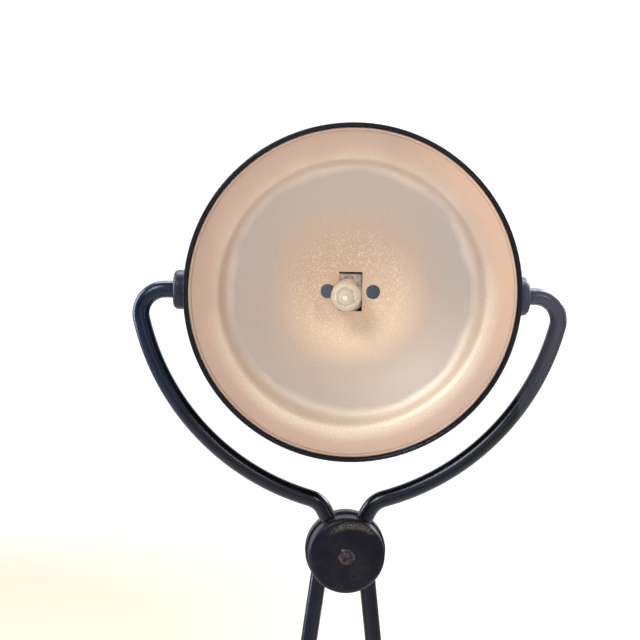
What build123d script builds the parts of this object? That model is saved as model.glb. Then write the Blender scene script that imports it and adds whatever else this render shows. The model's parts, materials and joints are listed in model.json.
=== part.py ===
from build123d import *

import os
from math import cos, radians, sin, sqrt

# Low-voltage halogen desk lamp on a rod arm.  Millimetres, +Z up, +X to the right of someone facing
# the lamp, and the shade's mouth faces -Y.  The origin is the centre of the base pad's underside.
#
# The two rods of each arm carry the current, so no wire runs along the arm.  Pieces of the lower arm
# are drawn in the frame `lower`, whose origin is on the shoulder's axis.  Pieces of the upper arm, the
# yoke and the shade are drawn in the frame `head`, whose origin is the middle of the wrist clutch, in
# the plane of the yoke's rods.  Both frames have +X across the lamp and +Z up along the arm.

# ---- Fits and gaps ---------------------------------------------------------------------------
FIT = 0.05  # radial clearance of a rod, pin or bush in its hole
RUN = 0.1  # gap between two flat faces that turn on each other
SPLIT = 0.3  # gap between the two halves of a rod clamp
SEAT = 0.1  # gap round a piece that drops into a seat

# ---- Pose at rest ----------------------------------------------------------------------------
SHOULDER_HEIGHT = 85.0
LOWER_ARM = 300.0
UPPER_ARM = 300.0
LOWER_LEAN = 20.0  # degrees, lower arm back from upright
HEAD_LEAN = 4.0  # degrees, upper arm and yoke forward from upright

# ---- Rods and joints of the arm --------------------------------------------------------------
ROD_R = 4.25
HUB_R = 18.0
HUB_WIDTH = 12.4
OUTER_HUB_WIDTH = 14.0
HUB_ROUND = 1.5
AXLE_R = 3.0
BUSH_WALL = 1.5
ARM_WASHER = 1.4
ARM_WASHER_R = 10.0
AXLE_NUT_FLATS = 10.0
AXLE_NUT = 5.0
AXLE_TAIL = 1.4  # length of axle left past each nut
ROD_TUCK = 8.0  # from a hub's axis to the end of the rod in it
LOWER_ROD_X = 32.0  # half the spacing of the lower arm's rods
WRIST_ROD_X = 10.5  # half the spacing of the upper arm's rods at the wrist

# ---- Wrist clutch ----------------------------------------------------------------------------
WRIST_R = 20.5
ARM_CLUTCH_R = 16.5  # clamp that holds the arm's rods, behind the yoke's
ARM_TUCK = 5.0  # from the wrist bolt to the end of an arm rod
FRONT_DISC_R = 19.4
FRONT_DISC = 10.5
FRONT_ROUND = 2.6
FRONT_DOME = 0.7
WRIST_PLATE = 6.5  # thickness of each inner clutch disc, from the middle of its rods
WRIST_REAR = 8.4
WRIST_WASHER = 1.5
WRIST_EDGE = 1.0
FRICTION_RADII = (9.0, 12.8)
CONTACT_RADII = ((6.0, 8.2), (13.4, 15.4))
WRIST_BOLT_R = 2.5
BOLT_HEAD_R = 4.25
BOLT_HEAD = 5.0
WRIST_NUT_FLATS = 8.0
WRIST_NUT = 3.2
NUT_RECESS = 4.6
SPRING_WASHER = 1.2
BOLT_TAIL = 1.3

# ---- Yoke ------------------------------------------------------------------------------------
YOKE_TUCK = (5.3, 9.7)  # rod's lower end inside the clutch
YOKE_KNEE = (13.9, 26.1)  # where the entry line meets the leg's arc
YOKE_KNEE_ROUND = 12.0
YOKE_SHOULDER_ROUND = 12.0
YOKE_BOW = 22.2  # height of the leg's arc over its chord
YOKE_STUB = 18.4  # from the boss's face to where the arc meets the pivot line
PIVOT_PIN_R = 2.5
PIVOT_WASHER_R = 4.8
PIVOT_WASHER = 1.0
PIVOT_NUT = 4.0
PIVOT_NUT_FLATS = 8.0
PIVOT_TAIL = 1.2

# ---- Shade -----------------------------------------------------------------------------------
SHADE_R = 83.2
SHADE_WALL = 2.0
SHADE_SIDE = 32.0  # depth of the side before the corner is rounded
SHADE_DEPTH = 40.0
SHADE_CORNER = 10.0
SHADE_BACK_R = 46.0
HEAD_GAP = 28.1  # from the shade's lip to the wrist clutch
PIVOT_DEPTH = 13.0  # pivot line behind the lip
LIP_DEPTH = 2.2  # reflector's bead behind the lip
LEDGE = 1.0
BOSS_R = 9.75
BOSS_LENGTH = 5.3
BOSS_ROUND = 2.6
BOSS_SEAT = 3.0  # depth of the rod's socket in the boss

REFLECTOR_WALL = 0.8
BEAD_R = 0.9
BAND_R = 66.5  # inner edge of the flat outer band
STEP_R = 62.5  # foot of the step inside the band
BOWL_R = 20.0  # flat middle of the bowl
BAND_DEPTH = 6.4
STEP_DEPTH = 12.0
BOWL_DEPTH = 24.0
REFLECTOR_ROUNDS = [5.0, 8.0, 120.0, 80.0]  # band edge, step foot, bowl, edge of the flat middle
WINDOW = (12.0, 20.0)
VENT_R = 3.65
VENT_X = 11.6

HOUSING_R = 33.0
HOUSING_WALL = 1.5
HOUSING_LENGTH = 34.0
HOUSING_FLANGE = 4.0
CAP = 2.0
CAP_PLUG = 4.0
SLOT_COUNT = 12
SLOT_WIDTH = 3.0
SLOT_LENGTH = 16.0
CAP_SLOT_Z = 18.0  # cap's two slots, above and below what shows through the reflector's holes

# ---- Lamp ------------------------------------------------------------------------------------
PLATE = 1.0
PLATE_DEPTH = 27.5  # bracket plate's front face behind the lip
PLATE_WIDTH = 11.4
PLATE_TOP = 8.7
PLATE_FOOT = 14.0
NOTCH = (2.8, 2.4)  # cut corner in the plate's edge, across and up
NOTCH_Z = -10.2
BRACKET_END = 43.0
RIVET_R = 1.6
RIVET_HEAD_R = 2.8
RIVET_HEAD = 1.0
EYELET_R = 0.6
EYELET_Z = 7.0
HOLDER = (15.0, 11.0)
HOLDER_LENGTH = 13.0
LAMP_FOOT = (-1.2, -0.4)  # bulb's axis at the bracket plate
LAMP_TIP = (-4.2, -2.0)  # bulb's axis at the lip
BULB_R = 7.6
BULB_TIP_DEPTH = 1.5
BULB_SHOULDER = 6.0
PINCH = (8.0, 3.6)
PINCH_LENGTH = 9.0
PIP_R = 1.3
PIN_R = 0.6
PIN_SPACING = 6.35
LEAD_R = 1.0
LEAD_LENGTH = 14.0

# ---- Base ------------------------------------------------------------------------------------
BASE_R = 95.0
BASE_DRAFT = 3.0  # how far the side leans in by the top
BASE_HEIGHT = 45.0
BASE_WALL = 3.0
BASE_ROUND = 5.0
PAD = 2.0
PAD_INSET = 5.0
BASE_PLATE = 2.5
SCREW_INSET = 10.0  # screws in from the shell's wall
SCREW_R = 2.0
SCREW_HEAD_R = 4.0
SCREW_HEAD = 2.0
SCREW_LENGTH = 14.0
POST_R = 5.0
BALLAST_GAPS = (6.0, 6.0)  # from the transformer and from the screw posts
BALLAST = 22.0
COIL_BORE_R = 16.0
COIL_GAP = 11.3  # from the transformer to the switch body
COIL = 32.0
COIL_ROUND = 7.0
SPINDLE_R = 6.0
SWIVEL_BUSH_R = 11.0
SWIVEL_FLANGE_R = 17.0
SWIVEL_FLANGE = 2.5
SWIVEL_NUT_FLATS = 19.0
SWIVEL_NUT = 8.0
SWIVEL_TAIL = 1.5
SPINDLE_GRIP = 14.0  # length of spindle in the turret
TURRET_R = 20.0
TURRET_FOOT = 4.0
TURRET_STEM_R = 12.0
TURRET_BARREL_R = 14.0

SWITCH_INSET = 26.0  # middle of the switch in from the top's edge
SWITCH_HOLE = (11.6, 19.4)
SWITCH_BODY = (13.6, 21.4)
SWITCH_RIM = (16.0, 24.0)
SWITCH_RIM_HEIGHT = 1.5
SWITCH_DEPTH = 12.0
SWITCH_FLOOR = 1.5
ROCKER_TILT = 8.0
ROCKER_HALF = 8.6
ROCKER_HIGH = 4.4
ROCKER_DIP = 3.2
ROCKER_BELLY = 5.0
ROCKER_PIVOT_DROP = 1.2  # pivot below the base's top face
ROCKER_PIN_R = 1.0
ROCKER_PIN = 0.8  # length of the rocker's pin in the bezel's wall

INLET_Z = 24.0
INLET_BODY = (21.0, 12.0)
INLET_FLANGE = (27.0, 17.0)
INLET_PROUD = 1.6
INLET_LENGTH = 21.0
INLET_LOBE_R = 4.1
INLET_LOBE_X = 3.9
INLET_SOCKET = 11.0
INLET_PIN_R = 1.2
INLET_PIN_X = 4.3
INLET_PIN_STANDS = 8.5
INLET_PIN_TAIL = 4.0

FUSE_ANGLE = 62.0
FUSE_R = 5.5
FUSE_CAP_R = 7.5
FUSE_CAP = 5.0
FUSE_LENGTH = 16.0
TERMINAL_BLOCK = (18.0, 10.0, 9.0)
TERMINAL_ANGLE = 115.0

# ---- Values worked out from the sizes above --------------------------------------------------
SIDES = {"left": -1, "right": 1}

# Stack along the arm's cross axles, from the middle outwards
inner_hub_x = LOWER_ROD_X - HUB_WIDTH / 2
barrel_half = inner_hub_x - ARM_WASHER - 2 * RUN
hub_outside = LOWER_ROD_X + HUB_WIDTH / 2
outer_hub_x = hub_outside + ARM_WASHER + 2 * RUN
elbow_rod_x = outer_hub_x + OUTER_HUB_WIDTH * 0.55
elbow_outside = outer_hub_x + OUTER_HUB_WIDTH
bush_r = AXLE_R + FIT + BUSH_WALL

# Stack along the wrist bolt, from the middle of the yoke's rods backwards
friction_y = WRIST_PLATE + RUN
arm_front_y = friction_y + WRIST_WASHER
arm_plane = arm_front_y + WRIST_PLATE
arm_rear_y = arm_plane + WRIST_REAR

# Arm frames, and the spread of the upper arm's rods
splay = (elbow_rod_x - WRIST_ROD_X) / UPPER_ARM
lower = Plane(
    origin=(0, 0, SHOULDER_HEIGHT),
    x_dir=(1, 0, 0),
    z_dir=(0, sin(radians(LOWER_LEAN)), cos(radians(LOWER_LEAN))),
)
head_up = Vector(0, -sin(radians(HEAD_LEAN)), cos(radians(HEAD_LEAN)))
head_back = Vector(0, cos(radians(HEAD_LEAN)), sin(radians(HEAD_LEAN)))
elbow = lower.from_local_coords((0, 0, LOWER_ARM))
wrist = elbow + head_up * UPPER_ARM - head_back * arm_plane
head = Plane(origin=wrist, x_dir=(1, 0, 0), z_dir=head_up)

# Yoke and shade
pivot_z = SHADE_R + HEAD_GAP + WRIST_R
boss_face = SHADE_R + BOSS_LENGTH
yoke_reach = boss_face + YOKE_STUB
pin_shoulder = boss_face - BOSS_SEAT + RUN
shade_bore = SHADE_R - SHADE_WALL
pivot_washer_x = sqrt(shade_bore**2 - PIVOT_WASHER_R**2) - RUN
pivot_nut_x = pivot_washer_x - PIVOT_WASHER
pin_end = pivot_nut_x - PIVOT_NUT - PIVOT_TAIL
bead_x = shade_bore - BEAD_R - SEAT
shade_section = Plane(origin=(0, -PIVOT_DEPTH, pivot_z), x_dir=(1, 0, 0), z_dir=(0, 0, 1))
shade_axis = Axis((0, 0, pivot_z), (0, 1, 0))

# Base
floor_z = PAD + BASE_PLATE
ceiling_z = BASE_HEIGHT - BASE_WALL
turret_z = BASE_HEIGHT + SWIVEL_FLANGE + RUN
base_top_r = BASE_R - BASE_DRAFT
base_bore = base_top_r - BASE_WALL
screw_circle = base_bore - SCREW_INSET
switch_y = SWITCH_INSET - base_top_r
coil_r = -switch_y - SWITCH_BODY[1] / 2 - COIL_GAP
coil_round = min(COIL_ROUND, (coil_r - COIL_BORE_R) * 0.4)
ballast_inner = coil_r + BALLAST_GAPS[0]
ballast_outer = screw_circle - POST_R - BALLAST_GAPS[1]


def across_head(depth):
    """Plane across the wrist bolt at a depth behind the yoke's rods; its +Z faces the front."""
    return Plane.XZ.offset(-depth)


def across_shade(depth):
    """Plane across the shade's axis at a depth behind the lip, centred on the axis."""
    return Plane(origin=(0, depth - PIVOT_DEPTH, pivot_z), x_dir=(1, 0, 0), z_dir=(0, -1, 0))


def turned(plane, axis, points, rounds):
    """Solid of revolution of a closed outline whose corners are rounded by a list of radii."""
    with BuildSketch(plane) as section:
        with BuildLine():
            FilletPolyline(*points, radius=rounds, close=True)
        make_face()
    revolve(section.sketch, axis=axis)


def spun(plane, axis, points, rounds, wall, wall_side, bead=0):
    """Spun sheet metal: an open outline with rounded corners and a wall on one side of it, turned.

    A bead is the radius of a rolled edge at the outline's first point.
    """
    with BuildSketch(plane) as section:
        with BuildLine():
            FilletPolyline(*points, radius=rounds)
            offset(amount=wall, side=wall_side)
        make_face()
        if bead:
            with Locations(points[0]):
                Circle(bead)
    revolve(section.sketch, axis=axis)


def ring(plane, outer, inner, thickness):
    """Flat ring that stands on a plane, along the plane's +Z."""
    with BuildSketch(plane) as section:
        Circle(outer)
        Circle(inner, mode=Mode.SUBTRACT)
    extrude(section.sketch, amount=thickness)


def round_cut(plane, radius, depth, mode=Mode.SUBTRACT):
    """Round hole from a plane along its +Z, or a round pin with Mode.ADD."""
    with BuildSketch(plane) as section:
        Circle(radius)
    extrude(section.sketch, amount=depth, mode=mode)


def hex_nut(plane, flats, thickness, bore):
    """Hexagonal nut on a plane, along its +Z, with turned chamfers on both faces."""
    corner = flats / sqrt(3)
    bevel = corner - flats / 2
    with BuildSketch(plane) as section:
        RegularPolygon(radius=flats / 2, side_count=6, major_radius=False)
        Circle(bore, mode=Mode.SUBTRACT)
    prism = extrude(section.sketch, amount=thickness, mode=Mode.PRIVATE)
    with BuildSketch(plane) as outline:
        Circle(corner)
    bar = extrude(outline.sketch, amount=thickness, mode=Mode.PRIVATE).solid()
    bar = bar.chamfer(bevel * 0.58, bevel, bar.edges().filter_by(GeomType.CIRCLE))
    add(prism.solid() & bar)


def side_plane(side, x, origin_y=0.0, origin_z=0.0):
    """Plane across X at a distance x from the middle, facing outwards on that side."""
    return Plane(origin=(side * x, origin_y, origin_z), x_dir=(0, side, 0), z_dir=(side, 0, 0))


def arm_rod_plane(side):
    """Plane across an upper arm rod's top end, facing down along the rod."""
    top_x = side * (WRIST_ROD_X - splay * ARM_TUCK)
    return Plane(origin=(top_x, arm_plane, ARM_TUCK), x_dir=(0, 1, 0), z_dir=(side * splay, 0, -1))


arm_rod_length = (UPPER_ARM + ARM_TUCK - ROD_TUCK) * sqrt(1 + splay**2)


def yoke_leg(side):
    """Centre line of a yoke rod: out of the clutch, round the shade in one arc, in to its boss."""
    tuck = (side * YOKE_TUCK[0], YOKE_TUCK[1])
    knee = (side * YOKE_KNEE[0], YOKE_KNEE[1])
    shoulder = (side * yoke_reach, pivot_z)
    stub_end = (side * pin_shoulder, pivot_z)
    with BuildLine(Plane.XZ) as leg:
        Line(tuck, knee)
        SagittaArc(knee, shoulder, -side * YOKE_BOW)
        Line(shoulder, stub_end)
        corners = leg.vertices().sort_by(Axis.Z)
        fillet(corners[1], YOKE_KNEE_ROUND)
        corners = leg.vertices().group_by(Axis.Z)[-1].sort_by(Axis.X)
        fillet(corners[-1] if side > 0 else corners[0], YOKE_SHOULDER_ROUND)
    return leg.wires()[0]


def follow_leg(side, radius, mode=Mode.ADD):
    """Round bar, or a groove for one, along a yoke rod's centre line."""
    leg = yoke_leg(side)
    start = Vector(side * YOKE_TUCK[0], 0, YOKE_TUCK[1])
    way = Vector(side * (YOKE_KNEE[0] - YOKE_TUCK[0]), 0, YOKE_KNEE[1] - YOKE_TUCK[1])
    with BuildSketch(Plane(origin=start, z_dir=way)) as section:
        Circle(radius)
    sweep(section.sketch, path=leg, mode=mode)


def drum_outline():
    """Outside of the base drum as a closed half section."""
    return (
        (0, PAD),
        (BASE_R, PAD),
        (base_top_r, BASE_HEIGHT),
        (0, BASE_HEIGHT),
    )


def polar_plane(radius, angle, z):
    """Upright plane that faces outwards from the base's axis."""
    turn = radians(angle)
    return Plane(
        origin=(radius * cos(turn), radius * sin(turn), z),
        x_dir=(-sin(turn), cos(turn), 0),
        z_dir=(cos(turn), sin(turn), 0),
    )


os.makedirs("parts", exist_ok=True)

# ---- Base ------------------------------------------------------------------------------------

with BuildPart() as base_pad:
    with BuildSketch(Plane.XY):
        Circle(BASE_R - PAD_INSET)
    extrude(amount=PAD)
    chamfer(base_pad.edges().group_by(Axis.Z)[0], PAD / 4)
base_pad.part.label = "base_pad"
export_step(base_pad.part, "parts/base_pad.step")

with BuildPart() as base_plate:
    with BuildSketch(Plane.XY.offset(PAD)):
        Circle(base_bore)
    extrude(amount=BASE_PLATE)
    with Locations(Plane.XY.offset(PAD).rotated((180, 0, 0))):
        with PolarLocations(screw_circle, 4, start_angle=45):
            CounterSinkHole(SCREW_R + FIT, SCREW_HEAD_R + FIT, depth=BASE_PLATE * 2)
base_plate.part.label = "base_plate"
export_step(base_plate.part, "parts/base_plate.step")

with BuildPart() as base_screws:
    with BuildSketch(Plane.XY.offset(PAD)):
        with PolarLocations(screw_circle, 4, start_angle=45):
            Circle(SCREW_R)
    extrude(amount=SCREW_LENGTH)
    with Locations((0, 0, PAD)):
        with PolarLocations(screw_circle, 4, start_angle=45):
            Cone(SCREW_HEAD_R, SCREW_R, SCREW_HEAD, align=(Align.CENTER, Align.CENTER, Align.MIN))
base_screws.part.label = "base_screws"
export_step(base_screws.part, "parts/base_screws.step")

with BuildPart() as base_shell:
    turned(Plane.XZ, Axis.Z, drum_outline(), [0, 0, BASE_ROUND, 0])
    with BuildSketch(Plane.XY.offset(PAD)):
        Circle(base_bore + SEAT)
    extrude(amount=ceiling_z - PAD, mode=Mode.SUBTRACT)
    with BuildSketch(Plane.XY.offset(floor_z)):
        with PolarLocations(screw_circle, 4, start_angle=45):
            Circle(POST_R)
    extrude(amount=ceiling_z - floor_z)
    with BuildSketch(Plane.XY.offset(floor_z)):
        with PolarLocations(screw_circle, 4, start_angle=45):
            Circle(SCREW_R + FIT)
    extrude(amount=SCREW_LENGTH, mode=Mode.SUBTRACT)
    with BuildSketch(Plane.XY.offset(ceiling_z)):
        Circle(SWIVEL_BUSH_R + FIT)
        with Locations((0, switch_y)):
            Rectangle(SWITCH_BODY[0] + 2 * SEAT, SWITCH_BODY[1] + 2 * SEAT)
    extrude(amount=BASE_WALL, mode=Mode.SUBTRACT)
    with BuildSketch(Plane.XZ.offset(-base_bore / 2)):
        with Locations((0, INLET_Z)):
            Rectangle(INLET_BODY[0] + 2 * SEAT, INLET_BODY[1] + 2 * SEAT)
    extrude(amount=-BASE_R, mode=Mode.SUBTRACT)
    round_cut(polar_plane(base_bore / 2, FUSE_ANGLE, INLET_Z), FUSE_R + FIT, BASE_R)
base_shell.part.label = "base_shell"
export_step(base_shell.part, "parts/base_shell.step")

with BuildPart() as ballast_ring:
    ring(Plane.XY.offset(floor_z), ballast_outer, ballast_inner, BALLAST)
    chamfer(ballast_ring.edges().group_by(Axis.Z)[-1], 1.0)
ballast_ring.part.label = "ballast_ring"
export_step(ballast_ring.part, "parts/ballast_ring.step")

with BuildPart() as transformer:
    coil_outline = (
        (COIL_BORE_R, floor_z),
        (coil_r, floor_z),
        (coil_r, floor_z + COIL),
        (COIL_BORE_R, floor_z + COIL),
    )
    turned(Plane.XZ, Axis.Z, coil_outline, [coil_round] * 4)
transformer.part.label = "transformer"
export_step(transformer.part, "parts/transformer.step")

with BuildPart() as terminal_block:
    turn = radians(TERMINAL_ANGLE)
    block_spot = Location(
        (screw_circle * cos(turn), screw_circle * sin(turn), floor_z), (0, 0, TERMINAL_ANGLE + 90)
    )
    with Locations(block_spot):
        Box(*TERMINAL_BLOCK, align=(Align.CENTER, Align.CENTER, Align.MIN))
    top_edges = terminal_block.edges().group_by(Axis.Z)[-1]
    fillet(top_edges, 1.0)
terminal_block.part.label = "terminal_block"
export_step(terminal_block.part, "parts/terminal_block.step")

with BuildPart() as swivel_bush:
    ring(Plane.XY.offset(BASE_HEIGHT), SWIVEL_FLANGE_R, SPINDLE_R + FIT, SWIVEL_FLANGE)
    ring(Plane.XY.offset(ceiling_z - BASE_WALL), SWIVEL_BUSH_R, SPINDLE_R + FIT, 2 * BASE_WALL)
swivel_bush.part.label = "swivel_bush"
export_step(swivel_bush.part, "parts/swivel_bush.step")

with BuildPart() as switch_bezel:
    with BuildSketch(Plane.XY.offset(BASE_HEIGHT)):
        with Locations((0, switch_y)):
            RectangleRounded(*SWITCH_RIM, radius=1.5)
    extrude(amount=SWITCH_RIM_HEIGHT)
    fillet(switch_bezel.edges().group_by(Axis.Z)[-1], 0.6)
    with BuildSketch(Plane.XY.offset(BASE_HEIGHT - SWITCH_DEPTH)):
        with Locations((0, switch_y)):
            Rectangle(*SWITCH_BODY)
    extrude(amount=SWITCH_DEPTH)
    with BuildSketch(Plane.XY.offset(BASE_HEIGHT - SWITCH_DEPTH + SWITCH_FLOOR)):
        with Locations((0, switch_y)):
            Rectangle(*SWITCH_HOLE)
    extrude(amount=SWITCH_DEPTH + SWITCH_RIM_HEIGHT, mode=Mode.SUBTRACT)
    pin_half = SWITCH_HOLE[0] / 2 + ROCKER_PIN
    rocker_axis = side_plane(1, -pin_half - RUN, switch_y, BASE_HEIGHT - ROCKER_PIVOT_DROP)
    round_cut(rocker_axis, ROCKER_PIN_R + FIT, 2 * (pin_half + RUN))
switch_bezel.part.label = "switch_bezel"
export_step(switch_bezel.part, "parts/switch_bezel.step")

with BuildPart() as switch_rocker:
    rocker_half_width = SWITCH_HOLE[0] / 2 - 3 * SEAT
    rocker_plane = Plane(
        origin=(-rocker_half_width, switch_y, BASE_HEIGHT - ROCKER_PIVOT_DROP),
        x_dir=(0, cos(radians(ROCKER_TILT)), sin(radians(ROCKER_TILT))),
        z_dir=(1, 0, 0),
    )
    with BuildSketch(rocker_plane):
        with BuildLine():
            Line((-ROCKER_HALF, 0), (-ROCKER_HALF, ROCKER_HIGH))
            Line((-ROCKER_HALF, ROCKER_HIGH), (0, ROCKER_DIP))
            Line((0, ROCKER_DIP), (ROCKER_HALF, ROCKER_HIGH))
            Line((ROCKER_HALF, ROCKER_HIGH), (ROCKER_HALF, 0))
            Line((ROCKER_HALF, 0), (ROCKER_BELLY, 0))
            ThreePointArc((ROCKER_BELLY, 0), (0, -ROCKER_BELLY), (-ROCKER_BELLY, 0))
            Line((-ROCKER_BELLY, 0), (-ROCKER_HALF, 0))
        make_face()
    extrude(amount=2 * rocker_half_width)
    fillet(switch_rocker.edges().filter_by(Axis.X).group_by(Axis.Z)[-1], 0.7)
    round_cut(rocker_axis.offset(RUN), ROCKER_PIN_R, 2 * pin_half, mode=Mode.ADD)
switch_rocker.part.label = "switch_rocker"
export_step(switch_rocker.part, "parts/switch_rocker.step")

with BuildPart() as mains_inlet:
    inlet_face = Plane.XZ.offset(-(BASE_R + INLET_PROUD))
    with BuildSketch(inlet_face):
        with Locations((0, INLET_Z)):
            RectangleRounded(*INLET_FLANGE, radius=2.0)
    extrude(amount=INLET_PROUD * 4)
    with BuildSketch(Plane.XZ):
        with BuildLine():
            Polyline(*drum_outline(), close=True)
        make_face()
    revolve(axis=Axis.Z, mode=Mode.SUBTRACT)
    with BuildSketch(inlet_face.offset(INLET_PROUD)):
        with Locations((0, INLET_Z)):
            Rectangle(*INLET_BODY)
    extrude(amount=INLET_LENGTH)
    with BuildSketch(inlet_face):
        with Locations((-INLET_LOBE_X, INLET_Z), (INLET_LOBE_X, INLET_Z)):
            Circle(INLET_LOBE_R)
        with Locations((0, INLET_Z)):
            Rectangle(2 * INLET_LOBE_X, 1.5 * INLET_LOBE_R)
    extrude(amount=INLET_SOCKET, mode=Mode.SUBTRACT)
    with BuildSketch(inlet_face):
        with Locations((-INLET_PIN_X, INLET_Z), (INLET_PIN_X, INLET_Z)):
            Circle(INLET_PIN_R + FIT)
    extrude(amount=INLET_LENGTH + 2 * INLET_PROUD, mode=Mode.SUBTRACT)
mains_inlet.part.label = "mains_inlet"
export_step(mains_inlet.part, "parts/mains_inlet.step")

with BuildPart() as inlet_pins:
    with BuildSketch(inlet_face.offset(INLET_SOCKET - INLET_PIN_STANDS)):
        with Locations((-INLET_PIN_X, INLET_Z), (INLET_PIN_X, INLET_Z)):
            Circle(INLET_PIN_R)
    extrude(amount=INLET_PIN_STANDS + INLET_LENGTH - INLET_SOCKET + INLET_PIN_TAIL)
    fillet(inlet_pins.edges().group_by(Axis.Y)[-1], INLET_PIN_R * 0.6)
inlet_pins.part.label = "inlet_pins"
export_step(inlet_pins.part, "parts/inlet_pins.step")

with BuildPart() as fuse_holder:
    wall_r = BASE_R - (BASE_R - base_top_r) * (INLET_Z - FUSE_CAP_R - PAD) / (BASE_HEIGHT - PAD)
    fuse_seat = polar_plane(wall_r + SEAT, FUSE_ANGLE, INLET_Z)
    round_cut(fuse_seat, FUSE_CAP_R, FUSE_CAP, mode=Mode.ADD)
    outer_rim = fuse_holder.edges().filter_by(GeomType.CIRCLE).sort_by_distance((0, 0, INLET_Z))[-1]
    fillet(outer_rim, 1.2)
    round_cut(fuse_seat, FUSE_R, -FUSE_LENGTH, mode=Mode.ADD)
    with BuildSketch(fuse_seat.offset(FUSE_CAP)):
        Rectangle(FUSE_CAP_R * 1.5, 1.4)
    extrude(amount=-1.2, mode=Mode.SUBTRACT)
fuse_holder.part.label = "fuse_holder"
export_step(fuse_holder.part, "parts/fuse_holder.step")

# ---- Turret and shoulder ---------------------------------------------------------------------

with BuildPart() as turret:
    turret_outline = (
        (0, turret_z),
        (TURRET_R, turret_z),
        (TURRET_R, turret_z + TURRET_FOOT),
        (TURRET_STEM_R, turret_z + 2.4 * TURRET_FOOT),
        (TURRET_STEM_R, SHOULDER_HEIGHT),
        (0, SHOULDER_HEIGHT),
    )
    turned(Plane.XZ, Axis.Z, turret_outline, [0, 0, 1.5, 5.0, 0, 0])
    with BuildSketch(Plane.YZ.offset(-barrel_half)):
        with Locations((0, SHOULDER_HEIGHT)):
            Circle(TURRET_BARREL_R)
    extrude(amount=2 * barrel_half)
    barrel_rims = turret.edges().filter_by(GeomType.CIRCLE).sort_by(Axis.X)
    fillet([barrel_rims[0], barrel_rims[-1]], 1.0)
    round_cut(Plane.XY.offset(turret_z), SPINDLE_R + FIT, SPINDLE_GRIP)
    round_cut(side_plane(1, -barrel_half, 0, SHOULDER_HEIGHT), AXLE_R + FIT, 2 * barrel_half)
turret.part.label = "turret"
export_step(turret.part, "parts/turret.step")

spindle_nut_z = ceiling_z - BASE_WALL - RUN - SWIVEL_NUT
with BuildPart() as swivel_spindle:
    spindle_length = turret_z + SPINDLE_GRIP - RUN - spindle_nut_z + SWIVEL_TAIL
    round_cut(Plane.XY.offset(spindle_nut_z - SWIVEL_TAIL), SPINDLE_R, spindle_length, mode=Mode.ADD)
    chamfer(swivel_spindle.edges().filter_by(GeomType.CIRCLE), 0.8)
swivel_spindle.part.label = "swivel_spindle"
export_step(swivel_spindle.part, "parts/swivel_spindle.step")

with BuildPart() as swivel_nut:
    hex_nut(Plane.XY.offset(spindle_nut_z), SWIVEL_NUT_FLATS, SWIVEL_NUT, SPINDLE_R + FIT)
swivel_nut.part.label = "swivel_nut"
export_step(swivel_nut.part, "parts/swivel_nut.step")

shoulder_nut_x = hub_outside + RUN + ARM_WASHER
with BuildPart() as shoulder_axle:
    axle_half = shoulder_nut_x + AXLE_NUT + AXLE_TAIL
    round_cut(side_plane(1, -axle_half, 0, SHOULDER_HEIGHT), AXLE_R, 2 * axle_half, mode=Mode.ADD)
    chamfer(shoulder_axle.edges().filter_by(GeomType.CIRCLE), 0.6)
shoulder_axle.part.label = "shoulder_axle"
export_step(shoulder_axle.part, "parts/shoulder_axle.step")

with BuildPart() as shoulder_nuts:
    for side in SIDES.values():
        hex_nut(side_plane(side, shoulder_nut_x, 0, SHOULDER_HEIGHT), AXLE_NUT_FLATS, AXLE_NUT, AXLE_R + FIT)
shoulder_nuts.part.label = "shoulder_nuts"
export_step(shoulder_nuts.part, "parts/shoulder_nuts.step")

with BuildPart() as shoulder_washers:
    for side in SIDES.values():
        for x in (barrel_half + RUN, hub_outside + RUN):
            ring(side_plane(side, x, 0, SHOULDER_HEIGHT), ARM_WASHER_R, AXLE_R + FIT, ARM_WASHER)
shoulder_washers.part.label = "shoulder_washers"
export_step(shoulder_washers.part, "parts/shoulder_washers.step")

# ---- Lower arm, in the frame `lower` ---------------------------------------------------------

for name, side in SIDES.items():
    with BuildPart() as lower_rod:
        with BuildSketch(Plane.XY.offset(ROD_TUCK)):
            with Locations((side * LOWER_ROD_X, 0)):
                Circle(ROD_R)
        extrude(amount=LOWER_ARM - 2 * ROD_TUCK)
        chamfer(lower_rod.edges().filter_by(GeomType.CIRCLE), 0.5)
    lower_rod.part.label = f"lower_rod_{name}"
    export_step(lower_rod.part.moved(lower.location), f"parts/lower_rod_{name}.step")

    for joint, z, way, bore in (("shoulder_hub", 0, 1, bush_r), ("elbow_inner_hub", LOWER_ARM, -1, AXLE_R)):
        with BuildPart() as lower_hub:
            round_cut(side_plane(side, inner_hub_x, 0, z), HUB_R, HUB_WIDTH, mode=Mode.ADD)
            fillet(lower_hub.edges().filter_by(GeomType.CIRCLE), HUB_ROUND)
            round_cut(side_plane(side, inner_hub_x, 0, z), bore + FIT, HUB_WIDTH)
            with BuildSketch(Plane.XY.offset(z + way * (ROD_TUCK - RUN))):
                with Locations((side * LOWER_ROD_X, 0)):
                    Circle(ROD_R + FIT)
            extrude(amount=way * HUB_R, mode=Mode.SUBTRACT)
        lower_hub.part.label = f"{joint}_{name}"
        export_step(lower_hub.part.moved(lower.location), f"parts/{joint}_{name}.step")

with BuildPart() as shoulder_bushes:
    for side in SIDES.values():
        ring(side_plane(side, inner_hub_x), bush_r, AXLE_R + FIT, HUB_WIDTH)
shoulder_bushes.part.label = "shoulder_bushes"
export_step(shoulder_bushes.part.moved(lower.location), "parts/shoulder_bushes.step")

with BuildPart() as elbow_spacer:
    ring(side_plane(1, -inner_hub_x, 0, LOWER_ARM), AXLE_R * 2.2, AXLE_R + FIT, 2 * inner_hub_x)
elbow_spacer.part.label = "elbow_spacer"
export_step(elbow_spacer.part.moved(lower.location), "parts/elbow_spacer.step")

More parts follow.
